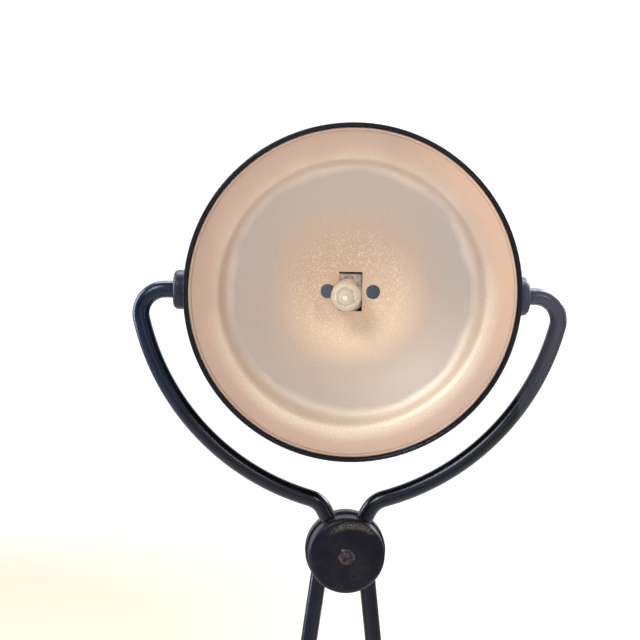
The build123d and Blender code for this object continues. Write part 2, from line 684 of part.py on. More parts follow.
elbow_nut_x = elbow_outside + RUN + ARM_WASHER
with BuildPart() as elbow_axle:
    axle_half = elbow_nut_x + AXLE_NUT + AXLE_TAIL
    round_cut(side_plane(1, -axle_half, 0, LOWER_ARM), AXLE_R, 2 * axle_half, mode=Mode.ADD)
    chamfer(elbow_axle.edges().filter_by(GeomType.CIRCLE), 0.6)
elbow_axle.part.label = "elbow_axle"
export_step(elbow_axle.part.moved(lower.location), "parts/elbow_axle.step")

with BuildPart() as elbow_nuts:
    for side in SIDES.values():
        hex_nut(side_plane(side, elbow_nut_x, 0, LOWER_ARM), AXLE_NUT_FLATS, AXLE_NUT, AXLE_R + FIT)
elbow_nuts.part.label = "elbow_nuts"
export_step(elbow_nuts.part.moved(lower.location), "parts/elbow_nuts.step")

with BuildPart() as elbow_washers:
    for side in SIDES.values():
        for x in (hub_outside + RUN, elbow_outside + RUN):
            ring(side_plane(side, x, 0, LOWER_ARM), ARM_WASHER_R, AXLE_R + FIT, ARM_WASHER)
elbow_washers.part.label = "elbow_washers"
export_step(elbow_washers.part.moved(lower.location), "parts/elbow_washers.step")

# ---- Upper arm, in the frame `head` ----------------------------------------------------------

for name, side in SIDES.items():
    with BuildPart() as upper_rod:
        round_cut(arm_rod_plane(side), ROD_R, arm_rod_length, mode=Mode.ADD)
        chamfer(upper_rod.edges().filter_by(GeomType.CIRCLE), 0.5)
    upper_rod.part.label = f"upper_rod_{name}"
    export_step(upper_rod.part.moved(head.location), f"parts/upper_rod_{name}.step")

    with BuildPart() as elbow_outer_hub:
        hub_plane = side_plane(side, outer_hub_x, arm_plane, -UPPER_ARM)
        round_cut(hub_plane, HUB_R, OUTER_HUB_WIDTH, mode=Mode.ADD)
        fillet(elbow_outer_hub.edges().filter_by(GeomType.CIRCLE), HUB_ROUND)
        round_cut(hub_plane, bush_r + FIT, OUTER_HUB_WIDTH)
        round_cut(arm_rod_plane(side), ROD_R + FIT, arm_rod_length + RUN)
    elbow_outer_hub.part.label = f"elbow_outer_hub_{name}"
    export_step(elbow_outer_hub.part.moved(head.location), f"parts/elbow_outer_hub_{name}.step")

with BuildPart() as elbow_bushes:
    for side in SIDES.values():
        ring(side_plane(side, outer_hub_x, arm_plane, -UPPER_ARM), bush_r, AXLE_R + FIT, OUTER_HUB_WIDTH)
elbow_bushes.part.label = "elbow_bushes"
export_step(elbow_bushes.part.moved(head.location), "parts/elbow_bushes.step")

with BuildPart() as arm_hub_front:
    front_outline = (
        (WRIST_BOLT_R + FIT, arm_front_y),
        (ARM_CLUTCH_R, arm_front_y),
        (ARM_CLUTCH_R, arm_plane - SPLIT / 2),
        (WRIST_BOLT_R + FIT, arm_plane - SPLIT / 2),
    )
    turned(Plane.XY, Axis.Y, front_outline, [0, WRIST_EDGE, 0.4, 0])
    for side in SIDES.values():
        round_cut(arm_rod_plane(side).offset(-RUN), ROD_R + FIT, 2 * ARM_CLUTCH_R)
arm_hub_front.part.label = "arm_hub_front"
export_step(arm_hub_front.part.moved(head.location), "parts/arm_hub_front.step")

with BuildPart() as arm_hub_rear:
    rear_outline = (
        (WRIST_BOLT_R + FIT, arm_plane + SPLIT / 2),
        (ARM_CLUTCH_R, arm_plane + SPLIT / 2),
        (ARM_CLUTCH_R, arm_rear_y - FRONT_DOME),
        (WRIST_BOLT_R + FIT, arm_rear_y),
    )
    turned(Plane.XY, Axis.Y, rear_outline, [0, 0.4, FRONT_ROUND, 0])
    for side in SIDES.values():
        round_cut(arm_rod_plane(side).offset(-RUN), ROD_R + FIT, 2 * ARM_CLUTCH_R)
    round_cut(across_head(arm_rear_y), BOLT_HEAD_R + SEAT, BOLT_HEAD)
arm_hub_rear.part.label = "arm_hub_rear"
export_step(arm_hub_rear.part.moved(head.location), "parts/arm_hub_rear.step")

with BuildPart() as wrist_friction_disc:
    ring(across_head(arm_front_y), FRICTION_RADII[1], FRICTION_RADII[0], WRIST_WASHER)
wrist_friction_disc.part.label = "wrist_friction_disc"
export_step(wrist_friction_disc.part.moved(head.location), "parts/wrist_friction_disc.step")

with BuildPart() as wrist_contact_rings:
    for inner, outer in CONTACT_RADII:
        ring(across_head(arm_front_y), outer, inner, WRIST_WASHER)
wrist_contact_rings.part.label = "wrist_contact_rings"
export_step(wrist_contact_rings.part.moved(head.location), "parts/wrist_contact_rings.step")

recess_floor = -FRONT_DISC + NUT_RECESS
nut_back = recess_floor - RUN - SPRING_WASHER
with BuildPart() as wrist_spring_washer:
    ring(across_head(recess_floor - RUN), WRIST_NUT_FLATS / 2, WRIST_BOLT_R + FIT, SPRING_WASHER)
wrist_spring_washer.part.label = "wrist_spring_washer"
export_step(wrist_spring_washer.part.moved(head.location), "parts/wrist_spring_washer.step")

with BuildPart() as wrist_nut:
    hex_nut(across_head(nut_back), WRIST_NUT_FLATS, WRIST_NUT, WRIST_BOLT_R + FIT)
wrist_nut.part.label = "wrist_nut"
export_step(wrist_nut.part.moved(head.location), "parts/wrist_nut.step")

with BuildPart() as wrist_bolt:
    bolt_tip = nut_back - WRIST_NUT - BOLT_TAIL
    head_seat = arm_rear_y - BOLT_HEAD
    round_cut(across_head(head_seat), WRIST_BOLT_R, head_seat - bolt_tip, mode=Mode.ADD)
    chamfer(wrist_bolt.edges().group_by(Axis.Y)[0], 0.5)
    round_cut(across_head(arm_rear_y - RUN), BOLT_HEAD_R, BOLT_HEAD - RUN, mode=Mode.ADD)
    with BuildSketch(across_head(arm_rear_y - RUN)):
        RegularPolygon(radius=BOLT_HEAD_R * 0.5, side_count=6, major_radius=False)
    extrude(amount=BOLT_HEAD / 2, mode=Mode.SUBTRACT)
wrist_bolt.part.label = "wrist_bolt"
export_step(wrist_bolt.part.moved(head.location), "parts/wrist_bolt.step")

# ---- Yoke, in the frame `head` ---------------------------------------------------------------

with BuildPart() as front_disc:
    disc_outline = (
        (0, -FRONT_DISC),
        (FRONT_DISC_R, -FRONT_DISC + FRONT_DOME),
        (FRONT_DISC_R, -SPLIT / 2),
        (0, -SPLIT / 2),
    )
    turned(Plane.XY, Axis.Y, disc_outline, [0, FRONT_ROUND, 0.5, 0])
    round_cut(across_head(0), WRIST_BOLT_R + FIT, FRONT_DISC)
    with BuildSketch(across_head(recess_floor)):
        RegularPolygon(radius=WRIST_NUT_FLATS / 2 + SEAT, side_count=6, major_radius=False)
    extrude(amount=NUT_RECESS, mode=Mode.SUBTRACT)
    for side in SIDES.values():
        follow_leg(side, ROD_R + FIT, mode=Mode.SUBTRACT)
front_disc.part.label = "front_disc"
export_step(front_disc.part.moved(head.location), "parts/front_disc.step")

with BuildPart() as yoke_hub:
    hub_outline = (
        (WRIST_BOLT_R + FIT, SPLIT / 2),
        (WRIST_R, SPLIT / 2),
        (WRIST_R, WRIST_PLATE),
        (WRIST_BOLT_R + FIT, WRIST_PLATE),
    )
    turned(Plane.XY, Axis.Y, hub_outline, [0, WRIST_EDGE, WRIST_EDGE, 0])
    for side in SIDES.values():
        follow_leg(side, ROD_R + FIT, mode=Mode.SUBTRACT)
yoke_hub.part.label = "yoke_hub"
export_step(yoke_hub.part.moved(head.location), "parts/yoke_hub.step")

for name, side in SIDES.items():
    with BuildPart() as yoke_rod:
        follow_leg(side, ROD_R)
        pin_plane = side_plane(side, pin_end, 0, pivot_z)
        round_cut(pin_plane, PIVOT_PIN_R, pin_shoulder - pin_end, mode=Mode.ADD)
    yoke_rod.part.label = f"yoke_rod_{name}"
    export_step(yoke_rod.part.moved(head.location), f"parts/yoke_rod_{name}.step")

with BuildPart() as pivot_washers:
    for side in SIDES.values():
        ring(side_plane(side, pivot_nut_x, 0, pivot_z), PIVOT_WASHER_R, PIVOT_PIN_R + FIT, PIVOT_WASHER)
pivot_washers.part.label = "pivot_washers"
export_step(pivot_washers.part.moved(head.location), "parts/pivot_washers.step")

with BuildPart() as pivot_nuts:
    for side in SIDES.values():
        nut_plane = side_plane(side, pivot_nut_x - PIVOT_NUT, 0, pivot_z)
        hex_nut(nut_plane, PIVOT_NUT_FLATS, PIVOT_NUT, PIVOT_PIN_R + FIT)
pivot_nuts.part.label = "pivot_nuts"
export_step(pivot_nuts.part.moved(head.location), "parts/pivot_nuts.step")

# ---- Shade, in the frame `head` --------------------------------------------------------------

with BuildPart() as shade_shell:
    shell_points = ((SHADE_R, 0), (SHADE_R, SHADE_SIDE), (SHADE_BACK_R, SHADE_DEPTH), (HOUSING_R - 3, SHADE_DEPTH))
    spun(shade_section, shade_axis, shell_points, [SHADE_CORNER, SHADE_CORNER], SHADE_WALL, Side.LEFT)
    ledge_y = LIP_DEPTH + BEAD_R
    ring(across_shade(ledge_y + LEDGE), shade_bore + SHADE_WALL / 2, shade_bore - 1.2, LEDGE)
    fillet(shade_shell.edges().group_by(Axis.Y)[0], SHADE_WALL * 0.4)
    for side in SIDES.values():
        round_cut(side_plane(side, SHADE_R / 2, 0, pivot_z), PIVOT_PIN_R + FIT, SHADE_R)
    rivet_plane = across_shade(SHADE_DEPTH + SHADE_WALL)
    for x in (-1, 1):
        with BuildSketch(rivet_plane):
            with Locations((x * PLATE_WIDTH / 4, -(BRACKET_END + HOUSING_R) / 2)):
                Circle(RIVET_R + FIT)
        extrude(amount=SHADE_WALL * 3, mode=Mode.SUBTRACT)
shade_shell.part.label = "shade_shell"
export_step(shade_shell.part.moved(head.location), "parts/shade_shell.step")

with BuildPart() as reflector:
    reflector_points = (
        (bead_x, LIP_DEPTH),
        (BAND_R, BAND_DEPTH),
        (STEP_R, STEP_DEPTH),
        ((STEP_R + BOWL_R) / 2, (STEP_DEPTH + BOWL_DEPTH) / 2 + 2.0),
        (BOWL_R, BOWL_DEPTH),
        (0, BOWL_DEPTH),
    )
    spun(shade_section, shade_axis, reflector_points, REFLECTOR_ROUNDS, REFLECTOR_WALL, Side.RIGHT, BEAD_R)
    with BuildSketch(across_shade(BOWL_DEPTH * 1.5)):
        Rectangle(*WINDOW)
        with Locations((-VENT_X, 0), (VENT_X, 0)):
            Circle(VENT_R)
    extrude(amount=BOWL_DEPTH, mode=Mode.SUBTRACT)
reflector.part.label = "reflector"
export_step(reflector.part.moved(head.location), "parts/reflector.step")

with BuildPart() as pivot_bosses:
    for side in SIDES.values():
        boss_root = side_plane(side, SHADE_R - 3, 0, pivot_z)
        with BuildSketch(boss_root):
            Circle(BOSS_R)
        boss = extrude(amount=BOSS_LENGTH + 3, mode=Mode.PRIVATE)
        rim = boss.edges().filter_by(GeomType.CIRCLE).sort_by(Axis.X)
        outer_edge = rim[-1] if side > 0 else rim[0]
        add(boss.solid().fillet(BOSS_ROUND, [outer_edge]))
    with BuildSketch(across_shade(0)):
        Circle(SHADE_R)
    extrude(amount=-SHADE_DEPTH, mode=Mode.SUBTRACT)
    for side in SIDES.values():
        round_cut(side_plane(side, SHADE_R - 4, 0, pivot_z), PIVOT_PIN_R + FIT, BOSS_LENGTH + 5)
        round_cut(side_plane(side, boss_face - BOSS_SEAT, 0, pivot_z), ROD_R + FIT, BOSS_SEAT)
pivot_bosses.part.label = "pivot_bosses"
export_step(pivot_bosses.part.moved(head.location), "parts/pivot_bosses.step")

housing_front = SHADE_DEPTH
with BuildPart() as rear_housing:
    housing_points = (
        (HOUSING_R + HOUSING_FLANGE, housing_front + HOUSING_WALL),
        (HOUSING_R, housing_front + HOUSING_WALL),
        (HOUSING_R, housing_front + HOUSING_LENGTH),
    )
    spun(shade_section, shade_axis, housing_points, [2.0], HOUSING_WALL, Side.LEFT)
    slot_middle = housing_front + HOUSING_LENGTH * 0.55
    for index in range(SLOT_COUNT):
        turn = radians((index + 0.5) * 360 / SLOT_COUNT)
        outward = Vector(cos(turn), 0, sin(turn))
        slot_plane = Plane(
            origin=Vector(0, slot_middle - PIVOT_DEPTH, pivot_z) + outward * (HOUSING_R / 2),
            x_dir=(0, 1, 0),
            z_dir=outward,
        )
        with BuildSketch(slot_plane):
            SlotOverall(SLOT_LENGTH, SLOT_WIDTH)
        extrude(amount=HOUSING_R, mode=Mode.SUBTRACT)
rear_housing.part.label = "rear_housing"
export_step(rear_housing.part.moved(head.location), "parts/rear_housing.step")

cap_front = housing_front + HOUSING_LENGTH
with BuildPart() as rear_cap:
    plug_r = HOUSING_R - HOUSING_WALL - SEAT
    cap_outline = (
        (0, cap_front - CAP_PLUG),
        (plug_r, cap_front - CAP_PLUG),
        (plug_r, cap_front),
        (HOUSING_R, cap_front),
        (HOUSING_R, cap_front + CAP),
        (0, cap_front + CAP),
    )
    turned(shade_section, shade_axis, cap_outline, [0, 0, 0, 0, 1.2, 0])
    with BuildSketch(across_shade(cap_front)):
        Circle(plug_r - HOUSING_WALL)
    extrude(amount=CAP_PLUG, mode=Mode.SUBTRACT)
    with BuildSketch(across_shade(cap_front + 2 * CAP)):
        with Locations((0, -CAP_SLOT_Z), (0, CAP_SLOT_Z)):
            SlotOverall(1.5 * sqrt(plug_r**2 - CAP_SLOT_Z**2), SLOT_WIDTH)
    extrude(amount=3 * CAP, mode=Mode.SUBTRACT)
rear_cap.part.label = "rear_cap"
export_step(rear_cap.part.moved(head.location), "parts/rear_cap.step")

# Bracket: a plate behind the window, a shelf back to the shell and a foot riveted to it
back_inner = SHADE_DEPTH - SHADE_WALL
with BuildPart() as lampholder_bracket:
    bracket_plane = Plane(origin=(-PLATE_WIDTH / 2, -PIVOT_DEPTH, pivot_z), x_dir=(0, 1, 0), z_dir=(1, 0, 0))
    with BuildSketch(bracket_plane):
        with BuildLine():
            FilletPolyline(
                (PLATE_DEPTH, PLATE_TOP),
                (PLATE_DEPTH, -PLATE_FOOT),
                (back_inner - PLATE, -PLATE_FOOT),
                (back_inner - PLATE, -BRACKET_END),
                radius=[1.2, 1.2],
            )
            offset(amount=PLATE, side=Side.LEFT)
        make_face()
    extrude(amount=PLATE_WIDTH)
    with BuildSketch(across_shade(back_inner)):
        with Locations(LAMP_FOOT):
            Rectangle(PINCH[0] + 2.0, PINCH[1] + 2.0)
        with BuildLine():
            notch_x = PLATE_WIDTH / 2
            notch_foot = (notch_x - NOTCH[0], NOTCH_Z)
            Polyline(notch_foot, (notch_x, NOTCH_Z), (notch_x, NOTCH_Z + NOTCH[1]), close=True)
        make_face()
        with Locations((-3.5 / 2 - 0.6, EYELET_Z), (3.5 / 2 - 0.6, EYELET_Z)):
            Circle(EYELET_R)
        with Locations(*[(x * PLATE_WIDTH / 4, -(BRACKET_END + HOUSING_R) / 2) for x in (-1, 1)]):
            Circle(RIVET_R + FIT)
    extrude(amount=back_inner - PLATE_DEPTH + 1, mode=Mode.SUBTRACT)
lampholder_bracket.part.label = "lampholder_bracket"
export_step(lampholder_bracket.part.moved(head.location), "parts/lampholder_bracket.step")

with BuildPart() as bracket_rivets:
    for x in (-1, 1):
        spot = (x * PLATE_WIDTH / 4, -(BRACKET_END + HOUSING_R) / 2)
        with BuildSketch(across_shade(SHADE_DEPTH)):
            with Locations(spot):
                Circle(RIVET_R)
        extrude(amount=SHADE_WALL + PLATE)
        with BuildSketch(across_shade(back_inner - PLATE)):
            with Locations(spot):
                Circle(RIVET_HEAD_R)
        extrude(amount=RIVET_HEAD, taper=20)
bracket_rivets.part.label = "bracket_rivets"
export_step(bracket_rivets.part.moved(head.location), "parts/bracket_rivets.step")

# The bulb and its holder lean together: their axis runs from the plate to a point at the lip
lamp_front = Vector(LAMP_TIP[0], -PIVOT_DEPTH, pivot_z + LAMP_TIP[1])
lamp_foot = Vector(LAMP_FOOT[0], PLATE_DEPTH + PLATE - PIVOT_DEPTH, pivot_z + LAMP_FOOT[1])
lamp_way = (lamp_front - lamp_foot).normalized()
lamp_seat = Plane(origin=lamp_foot, x_dir=(1, 0, 0), z_dir=lamp_way)
bulb_length = (lamp_front - lamp_foot).length - BULB_TIP_DEPTH
pinch_top = PINCH_LENGTH - 3.0

with BuildPart() as lampholder:
    holder_front = Plane(
        origin=(LAMP_FOOT[0], PLATE_DEPTH + PLATE - PIVOT_DEPTH, pivot_z + LAMP_FOOT[1]),
        x_dir=(1, 0, 0),
        z_dir=(0, -1, 0),
    )
    with BuildSketch(holder_front):
        RectangleRounded(*HOLDER, radius=2.0)
    extrude(amount=-HOLDER_LENGTH)
    with BuildSketch(lamp_seat.offset(-4.0)):
        Rectangle(PINCH[0] + 4 * SEAT, PINCH[1] + 4 * SEAT)
    extrude(amount=6.0, mode=Mode.SUBTRACT)
    with BuildSketch(lamp_seat.offset(-10.0)):
        with Locations((-PIN_SPACING / 2, 0), (PIN_SPACING / 2, 0)):
            Circle(PIN_R + FIT)
    extrude(amount=12.0, mode=Mode.SUBTRACT)
lampholder.part.label = "lampholder"
export_step(lampholder.part.moved(head.location), "parts/lampholder.step")

with BuildPart() as bulb_glass:
    with BuildSketch(lamp_seat.offset(-3.8)):
        Rectangle(*PINCH)
    extrude(amount=PINCH_LENGTH)
    lamp_section = Plane(origin=lamp_foot, x_dir=lamp_seat.x_dir, z_dir=-lamp_seat.y_dir)
    bulb_outline = (
        (0, pinch_top - 1),
        (BULB_R * 0.55, pinch_top - 1),
        (BULB_R, pinch_top + 3),
        (BULB_R, bulb_length - BULB_SHOULDER),
        (PIP_R * 2, bulb_length - 1.2),
        (PIP_R, bulb_length),
        (0, bulb_length),
    )
    turned(lamp_section, Axis(lamp_foot, lamp_way), bulb_outline, [0, 1.5, 2.5, 4.5, 1.0, 0.8, 0])
    with BuildSketch(lamp_seat.offset(-9.8)):
        with Locations((-PIN_SPACING / 2, 0), (PIN_SPACING / 2, 0)):
            Circle(PIN_R)
    extrude(amount=6.5)
    hollow = (
        (0, pinch_top + 1.6),
        (BULB_R * 0.5, pinch_top + 1.6),
        (BULB_R - 1, pinch_top + 4),
        (BULB_R - 1, bulb_length - BULB_SHOULDER - 0.5),
        (PIP_R * 2, bulb_length - 3),
        (0, bulb_length - 3),
    )
    with BuildSketch(lamp_section):
        with BuildLine():
            FilletPolyline(*hollow, radius=[0, 1.0, 1.5, 3.5, 1.0, 0], close=True)
        make_face()
    revolve(axis=Axis(lamp_foot, lamp_way), mode=Mode.SUBTRACT)
bulb_glass.part.label = "bulb_glass"
export_step(bulb_glass.part.moved(head.location), "parts/bulb_glass.step")

with BuildPart() as bulb_filament:
    coil_z = (pinch_top + bulb_length) / 2
    with BuildSketch(lamp_seat.offset(pinch_top + 1.65)):
        with Locations((-2.4, 0), (2.4, 0)):
            Circle(0.35)
    extrude(amount=coil_z - pinch_top - 1.65)
    with BuildSketch(Plane(origin=lamp_seat.from_local_coords((-3.0, 0, coil_z)), z_dir=lamp_seat.x_dir)):
        Circle(0.9)
    extrude(amount=6.0)
bulb_filament.part.label = "bulb_filament"
export_step(bulb_filament.part.moved(head.location), "parts/bulb_filament.step")

with BuildPart() as lampholder_leads:
    lead_start = PLATE_DEPTH + PLATE + HOLDER_LENGTH
    with BuildSketch(across_shade(lead_start)):
        with Locations(*[(LAMP_FOOT[0] + x * PIN_SPACING / 2, LAMP_FOOT[1]) for x in (-1, 1)]):
            Circle(LEAD_R)
    extrude(amount=-LEAD_LENGTH)
lampholder_leads.part.label = "lampholder_leads"
export_step(lampholder_leads.part.moved(head.location), "parts/lampholder_leads.step")
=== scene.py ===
import functools
import json
import math

import bpy
import numpy as np
from mathutils import Matrix, Vector


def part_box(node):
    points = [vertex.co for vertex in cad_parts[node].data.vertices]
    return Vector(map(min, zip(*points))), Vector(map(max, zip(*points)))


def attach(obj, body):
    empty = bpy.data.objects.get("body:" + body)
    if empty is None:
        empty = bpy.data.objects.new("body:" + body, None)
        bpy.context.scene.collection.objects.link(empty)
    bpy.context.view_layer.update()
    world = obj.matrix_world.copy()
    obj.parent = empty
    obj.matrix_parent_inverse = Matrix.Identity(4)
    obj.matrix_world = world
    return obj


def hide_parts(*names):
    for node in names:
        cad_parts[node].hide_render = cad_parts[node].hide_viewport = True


# Desk lamp with a round shade in a bent-rod yoke.  Metres, +Z up, the shade's mouth faces -Y.

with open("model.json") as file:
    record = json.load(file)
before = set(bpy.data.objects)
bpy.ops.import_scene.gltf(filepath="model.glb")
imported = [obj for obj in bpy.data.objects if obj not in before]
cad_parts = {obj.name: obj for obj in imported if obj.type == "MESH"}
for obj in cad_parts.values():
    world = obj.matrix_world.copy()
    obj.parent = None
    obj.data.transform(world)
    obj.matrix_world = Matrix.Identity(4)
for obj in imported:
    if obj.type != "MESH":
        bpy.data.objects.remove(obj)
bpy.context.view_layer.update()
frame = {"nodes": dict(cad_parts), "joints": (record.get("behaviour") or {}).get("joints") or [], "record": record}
MM = 0.001

# ---- Places read from the frame ----------------------------------------------------------------

joint = {j["name"]: j for j in frame["joints"]}
across = Vector((1, 0, 0))
head_back = Vector(joint["wrist_roll"]["axis"]).normalized()
head_up = across.cross(head_back)
wrist = Vector(joint["wrist_roll"]["pos_m"])
pivot = Vector(joint["shade_tilt"]["pos_m"])
lean = math.atan2(head_back.z, head_back.y)


def in_head(x, back, up, origin=wrist):
    """Point of the row frame from lengths along the head's own directions, measured from an origin."""
    return origin + across * x + head_back * back + head_up * up


def points_of(name):
    """Points of a CAD node's mesh."""
    mesh = frame["nodes"][name].data
    points = np.empty(len(mesh.vertices) * 3, np.float32)
    mesh.vertices.foreach_get("co", points)
    return points.reshape(-1, 3)


def box_in_head(name, origin=wrist):
    """Lowest and highest lengths of a CAD node along the head's own directions."""
    turned = (points_of(name) - np.array(origin)) @ np.array((across, head_back, head_up)).T
    return turned.min(0), turned.max(0)


# ---- Nodes -------------------------------------------------------------------------------------

# Settings that many nodes share
TIMES = {"operation": "MULTIPLY"}
COLOURS = {"data_type": "RGBA"}
CENTRED = {"vector_type": "TEXTURE"}


def linear(code):
    """Linear colour of an sRGB hex value."""
    parts = np.array([int(code[i : i + 2], 16) for i in (0, 2, 4)]) / 255
    low = parts / 12.92
    high = ((parts + 0.055) / 1.055) ** 2.4
    return (*np.where(parts <= 0.04045, low, high), 1.0)


def give(socket, value):
    """Links an input to a socket or sets it to a number, a vector or an sRGB hex value."""
    if isinstance(value, bpy.types.NodeSocket):
        socket.id_data.links.new(value, socket)
    else:
        socket.default_value = linear(value) if isinstance(value, str) else value


def add(tree, kind, *values, out=None, stops=(), **settings):
    """New node with its settings and links, given back as its first output or the one named.

    The values go to the inputs that its settings leave open, in their order, and None passes one
    over.  Stops are the (place, sRGB hex) pairs of a colour ramp.
    """
    made = tree.nodes.new("ShaderNode" + kind)
    for name, value in settings.items():
        setattr(made, name, value)
    open_inputs = [socket for socket in made.inputs if socket.enabled]
    for socket, value in zip(open_inputs, values):
        if value is not None:
            give(socket, value)
    if stops:
        ramp = made.color_ramp.elements
        while len(ramp) < len(stops):
            ramp.new(0.5)
        for element, (place, colour) in zip(ramp, stops):
            element.position = place
            element.color = linear(colour)
    return made.outputs[out] if out else next(socket for socket in made.outputs if socket.enabled)


def wire(shader, **given):
    """Gives the shader's inputs of these names, with _ for a space, a socket, a number or a colour."""
    for name, value in given.items():
        give(shader.inputs[name.replace("_", " ")], value)


def per(millimetres):
    """Scale of a pattern in Object coordinates, in metres, whose features are this far apart."""
    return 1 / (millimetres * MM)


def finish_of(name):
    """New material, its shader, what adds a node to it, and its Object coordinates."""
    material = bpy.data.materials.new(name)
    material.use_nodes = True
    node = functools.partial(add, material.node_tree)
    return material, material.node_tree.nodes["Principled BSDF"], node, node("TexCoord", out="Object")


# ---- Finishes ----------------------------------------------------------------------------------


def about_shade_axis(node, place):
    """Object coordinates turned into the shade's own: Y runs back from the lip along its axis."""
    return node("Mapping", place, lip_centre, (lean, 0, 0), **CENTRED)


def radius_about_y(node, place):
    """Distance from the local Y axis."""
    flat = node("VectorMath", place, (1, 0, 1), **TIMES)
    return node("VectorMath", flat, operation="LENGTH")


def gap_from(node, value, level):
    """How far a value is from a level."""
    return node("Math", node("Math", value, -level), operation="ABSOLUTE")


def painted_bend_reflection(node, place, colour, outside, left, right):
    """Painted reflection on the yoke's upper bends, bluer on the left, greyer on the right."""
    parts = node("SeparateXYZ", place).node.outputs
    height = node("MapRange", parts["Z"], pivot.z - 110 * MM, pivot.z + 10 * MM, 0, 0.9)
    outer = node("MapRange", gap_from(node, parts["X"], 0), outside - 1 * MM, outside + 1 * MM)
    side = node("MapRange", parts["X"], -60 * MM, 90 * MM)
    bend_reflection_tint = node("Mix", side, left, right, **COLOURS)
    return node("Mix", node("Math", height, outer, **TIMES), colour, bend_reflection_tint, **COLOURS)


def lacquer(name, face, sheen, grain, peel, rough=(0.3, 0.42), shine=0.3, painted_light_strip=False):
    """Stoved satin lacquer on steel.

    It gives a near-black that goes blue-violet where light grazes it, with the soft, faintly dimpled
    highlight of sprayed paint and a little dust caught on it, and a painted reflection on the yoke's
    upper bends, bluer on the left and greyer on the right.  Where asked for, a pale grey-blue strip
    across the rear cap's inner face is painted light inside the housing, drawn as primer.
    """
    material, shader, node, place = finish_of(name)
    cloud = node("TexNoise", place, per(grain), 3.0)
    colour = node("ValToRGB", cloud, stops=((0.35, face), (0.7, sheen)))
    # Painted reflection on the yoke's upper bends, bluer on the left, greyer on the right
    colour = painted_bend_reflection(node, place, colour, ROD_REFLECTION_FROM, "0e1c32", "4c4c59")
    dust = node("MapRange", node("TexNoise", place, per(0.5), 2.0), 0.66, 0.8, 0, 0.16)
    colour = node("Mix", dust, colour, "8e8a92", **COLOURS)
    if painted_light_strip:
        # Pale grey-blue strip across the rear cap's inner face: painted light inside the housing
        parts = node("SeparateXYZ", about_shade_axis(node, place)).node.outputs
        on_face = node("MapRange", gap_from(node, parts["Y"], cap_face), 0.3 * MM, 0.2 * MM)
        strip = node("MapRange", gap_from(node, parts["Z"], 0), 7.2 * MM, 7 * MM)
        colour = node("Mix", node("Math", on_face, strip, **TIMES), colour, "bccae8", **COLOURS)
    wire(
        shader,
        Base_Color=colour,
        Roughness=node("MapRange", cloud, 0, 1, *rough),
        Normal=node("Bump", 0.35, 0.02 * MM, None, node("TexNoise", place, per(peel), 2.0)),
        Specular_IOR_Level=shine,
        Specular_Tint="e2e8ff",
    )
    return material


def moulded_nylon(name="moulded_nylon"):
    """Glass-filled nylon, moulded against an eroded die.

    It gives a matt charcoal with a fine grain, with pale dust lying in the grain, most of all in a
    band near the top of the wrist's front disc, which is also a painted highlight, and a painted
    reflection on the pivot bosses, bluer on the left and greyer on the right.
    """
    material, shader, node, place = finish_of(name)
    erosion = node("TexNoise", place, per(0.35), 4.0)
    cloud = node("TexNoise", place, per(9.0), 3.0)
    colour = node("ValToRGB", cloud, stops=((0.35, "090811"), (0.7, "13121e")))
    # Painted reflection on the pivot bosses, bluer on the left, greyer on the right
    colour = painted_bend_reflection(node, place, colour, BOSS_REFLECTION_FROM, "252b3a", "4b4c60")
    near = node("MapRange", node("TexNoise", place, per(0.45), 2.0, 0.7), 0.48, 0.6)
    patches = node("MapRange", node("TexNoise", place, per(16.0), 2.0), 0.5, 0.66, 0, 0.07)
    # Band near the top of the front disc: dust and painted highlight
    local = node("Mapping", place, in_head(*DUST_AND_HIGHLIGHT_MIDDLE), (lean, 0, 0), **CENTRED)
    off = gap_from(node, radius_about_y(node, local), DUST_AND_HIGHLIGHT_RADIUS)
    ring = node("MapRange", off, 2.4 * MM, 0.4 * MM)
    top = node("MapRange", node("SeparateXYZ", local, out="Z"), 9.5 * MM, 13 * MM)
    band = node("Math", node("Math", ring, top, **TIMES), 0.7, **TIMES)
    dust_and_highlight = node("Math", patches, band, operation="MAXIMUM")
    colour = node("Mix", node("Math", near, dust_and_highlight, **TIMES), colour, "9a8f7e", **COLOURS)
    wire(
        shader,
        Base_Color=colour,
        Roughness=node("MapRange", erosion, 0, 1, 0.3, 0.48),
        Normal=node("Bump", 0.4, 0.05 * MM, None, erosion),
        Specular_IOR_Level=0.25,
        Specular_Tint="e4e8ff",
    )
    return material


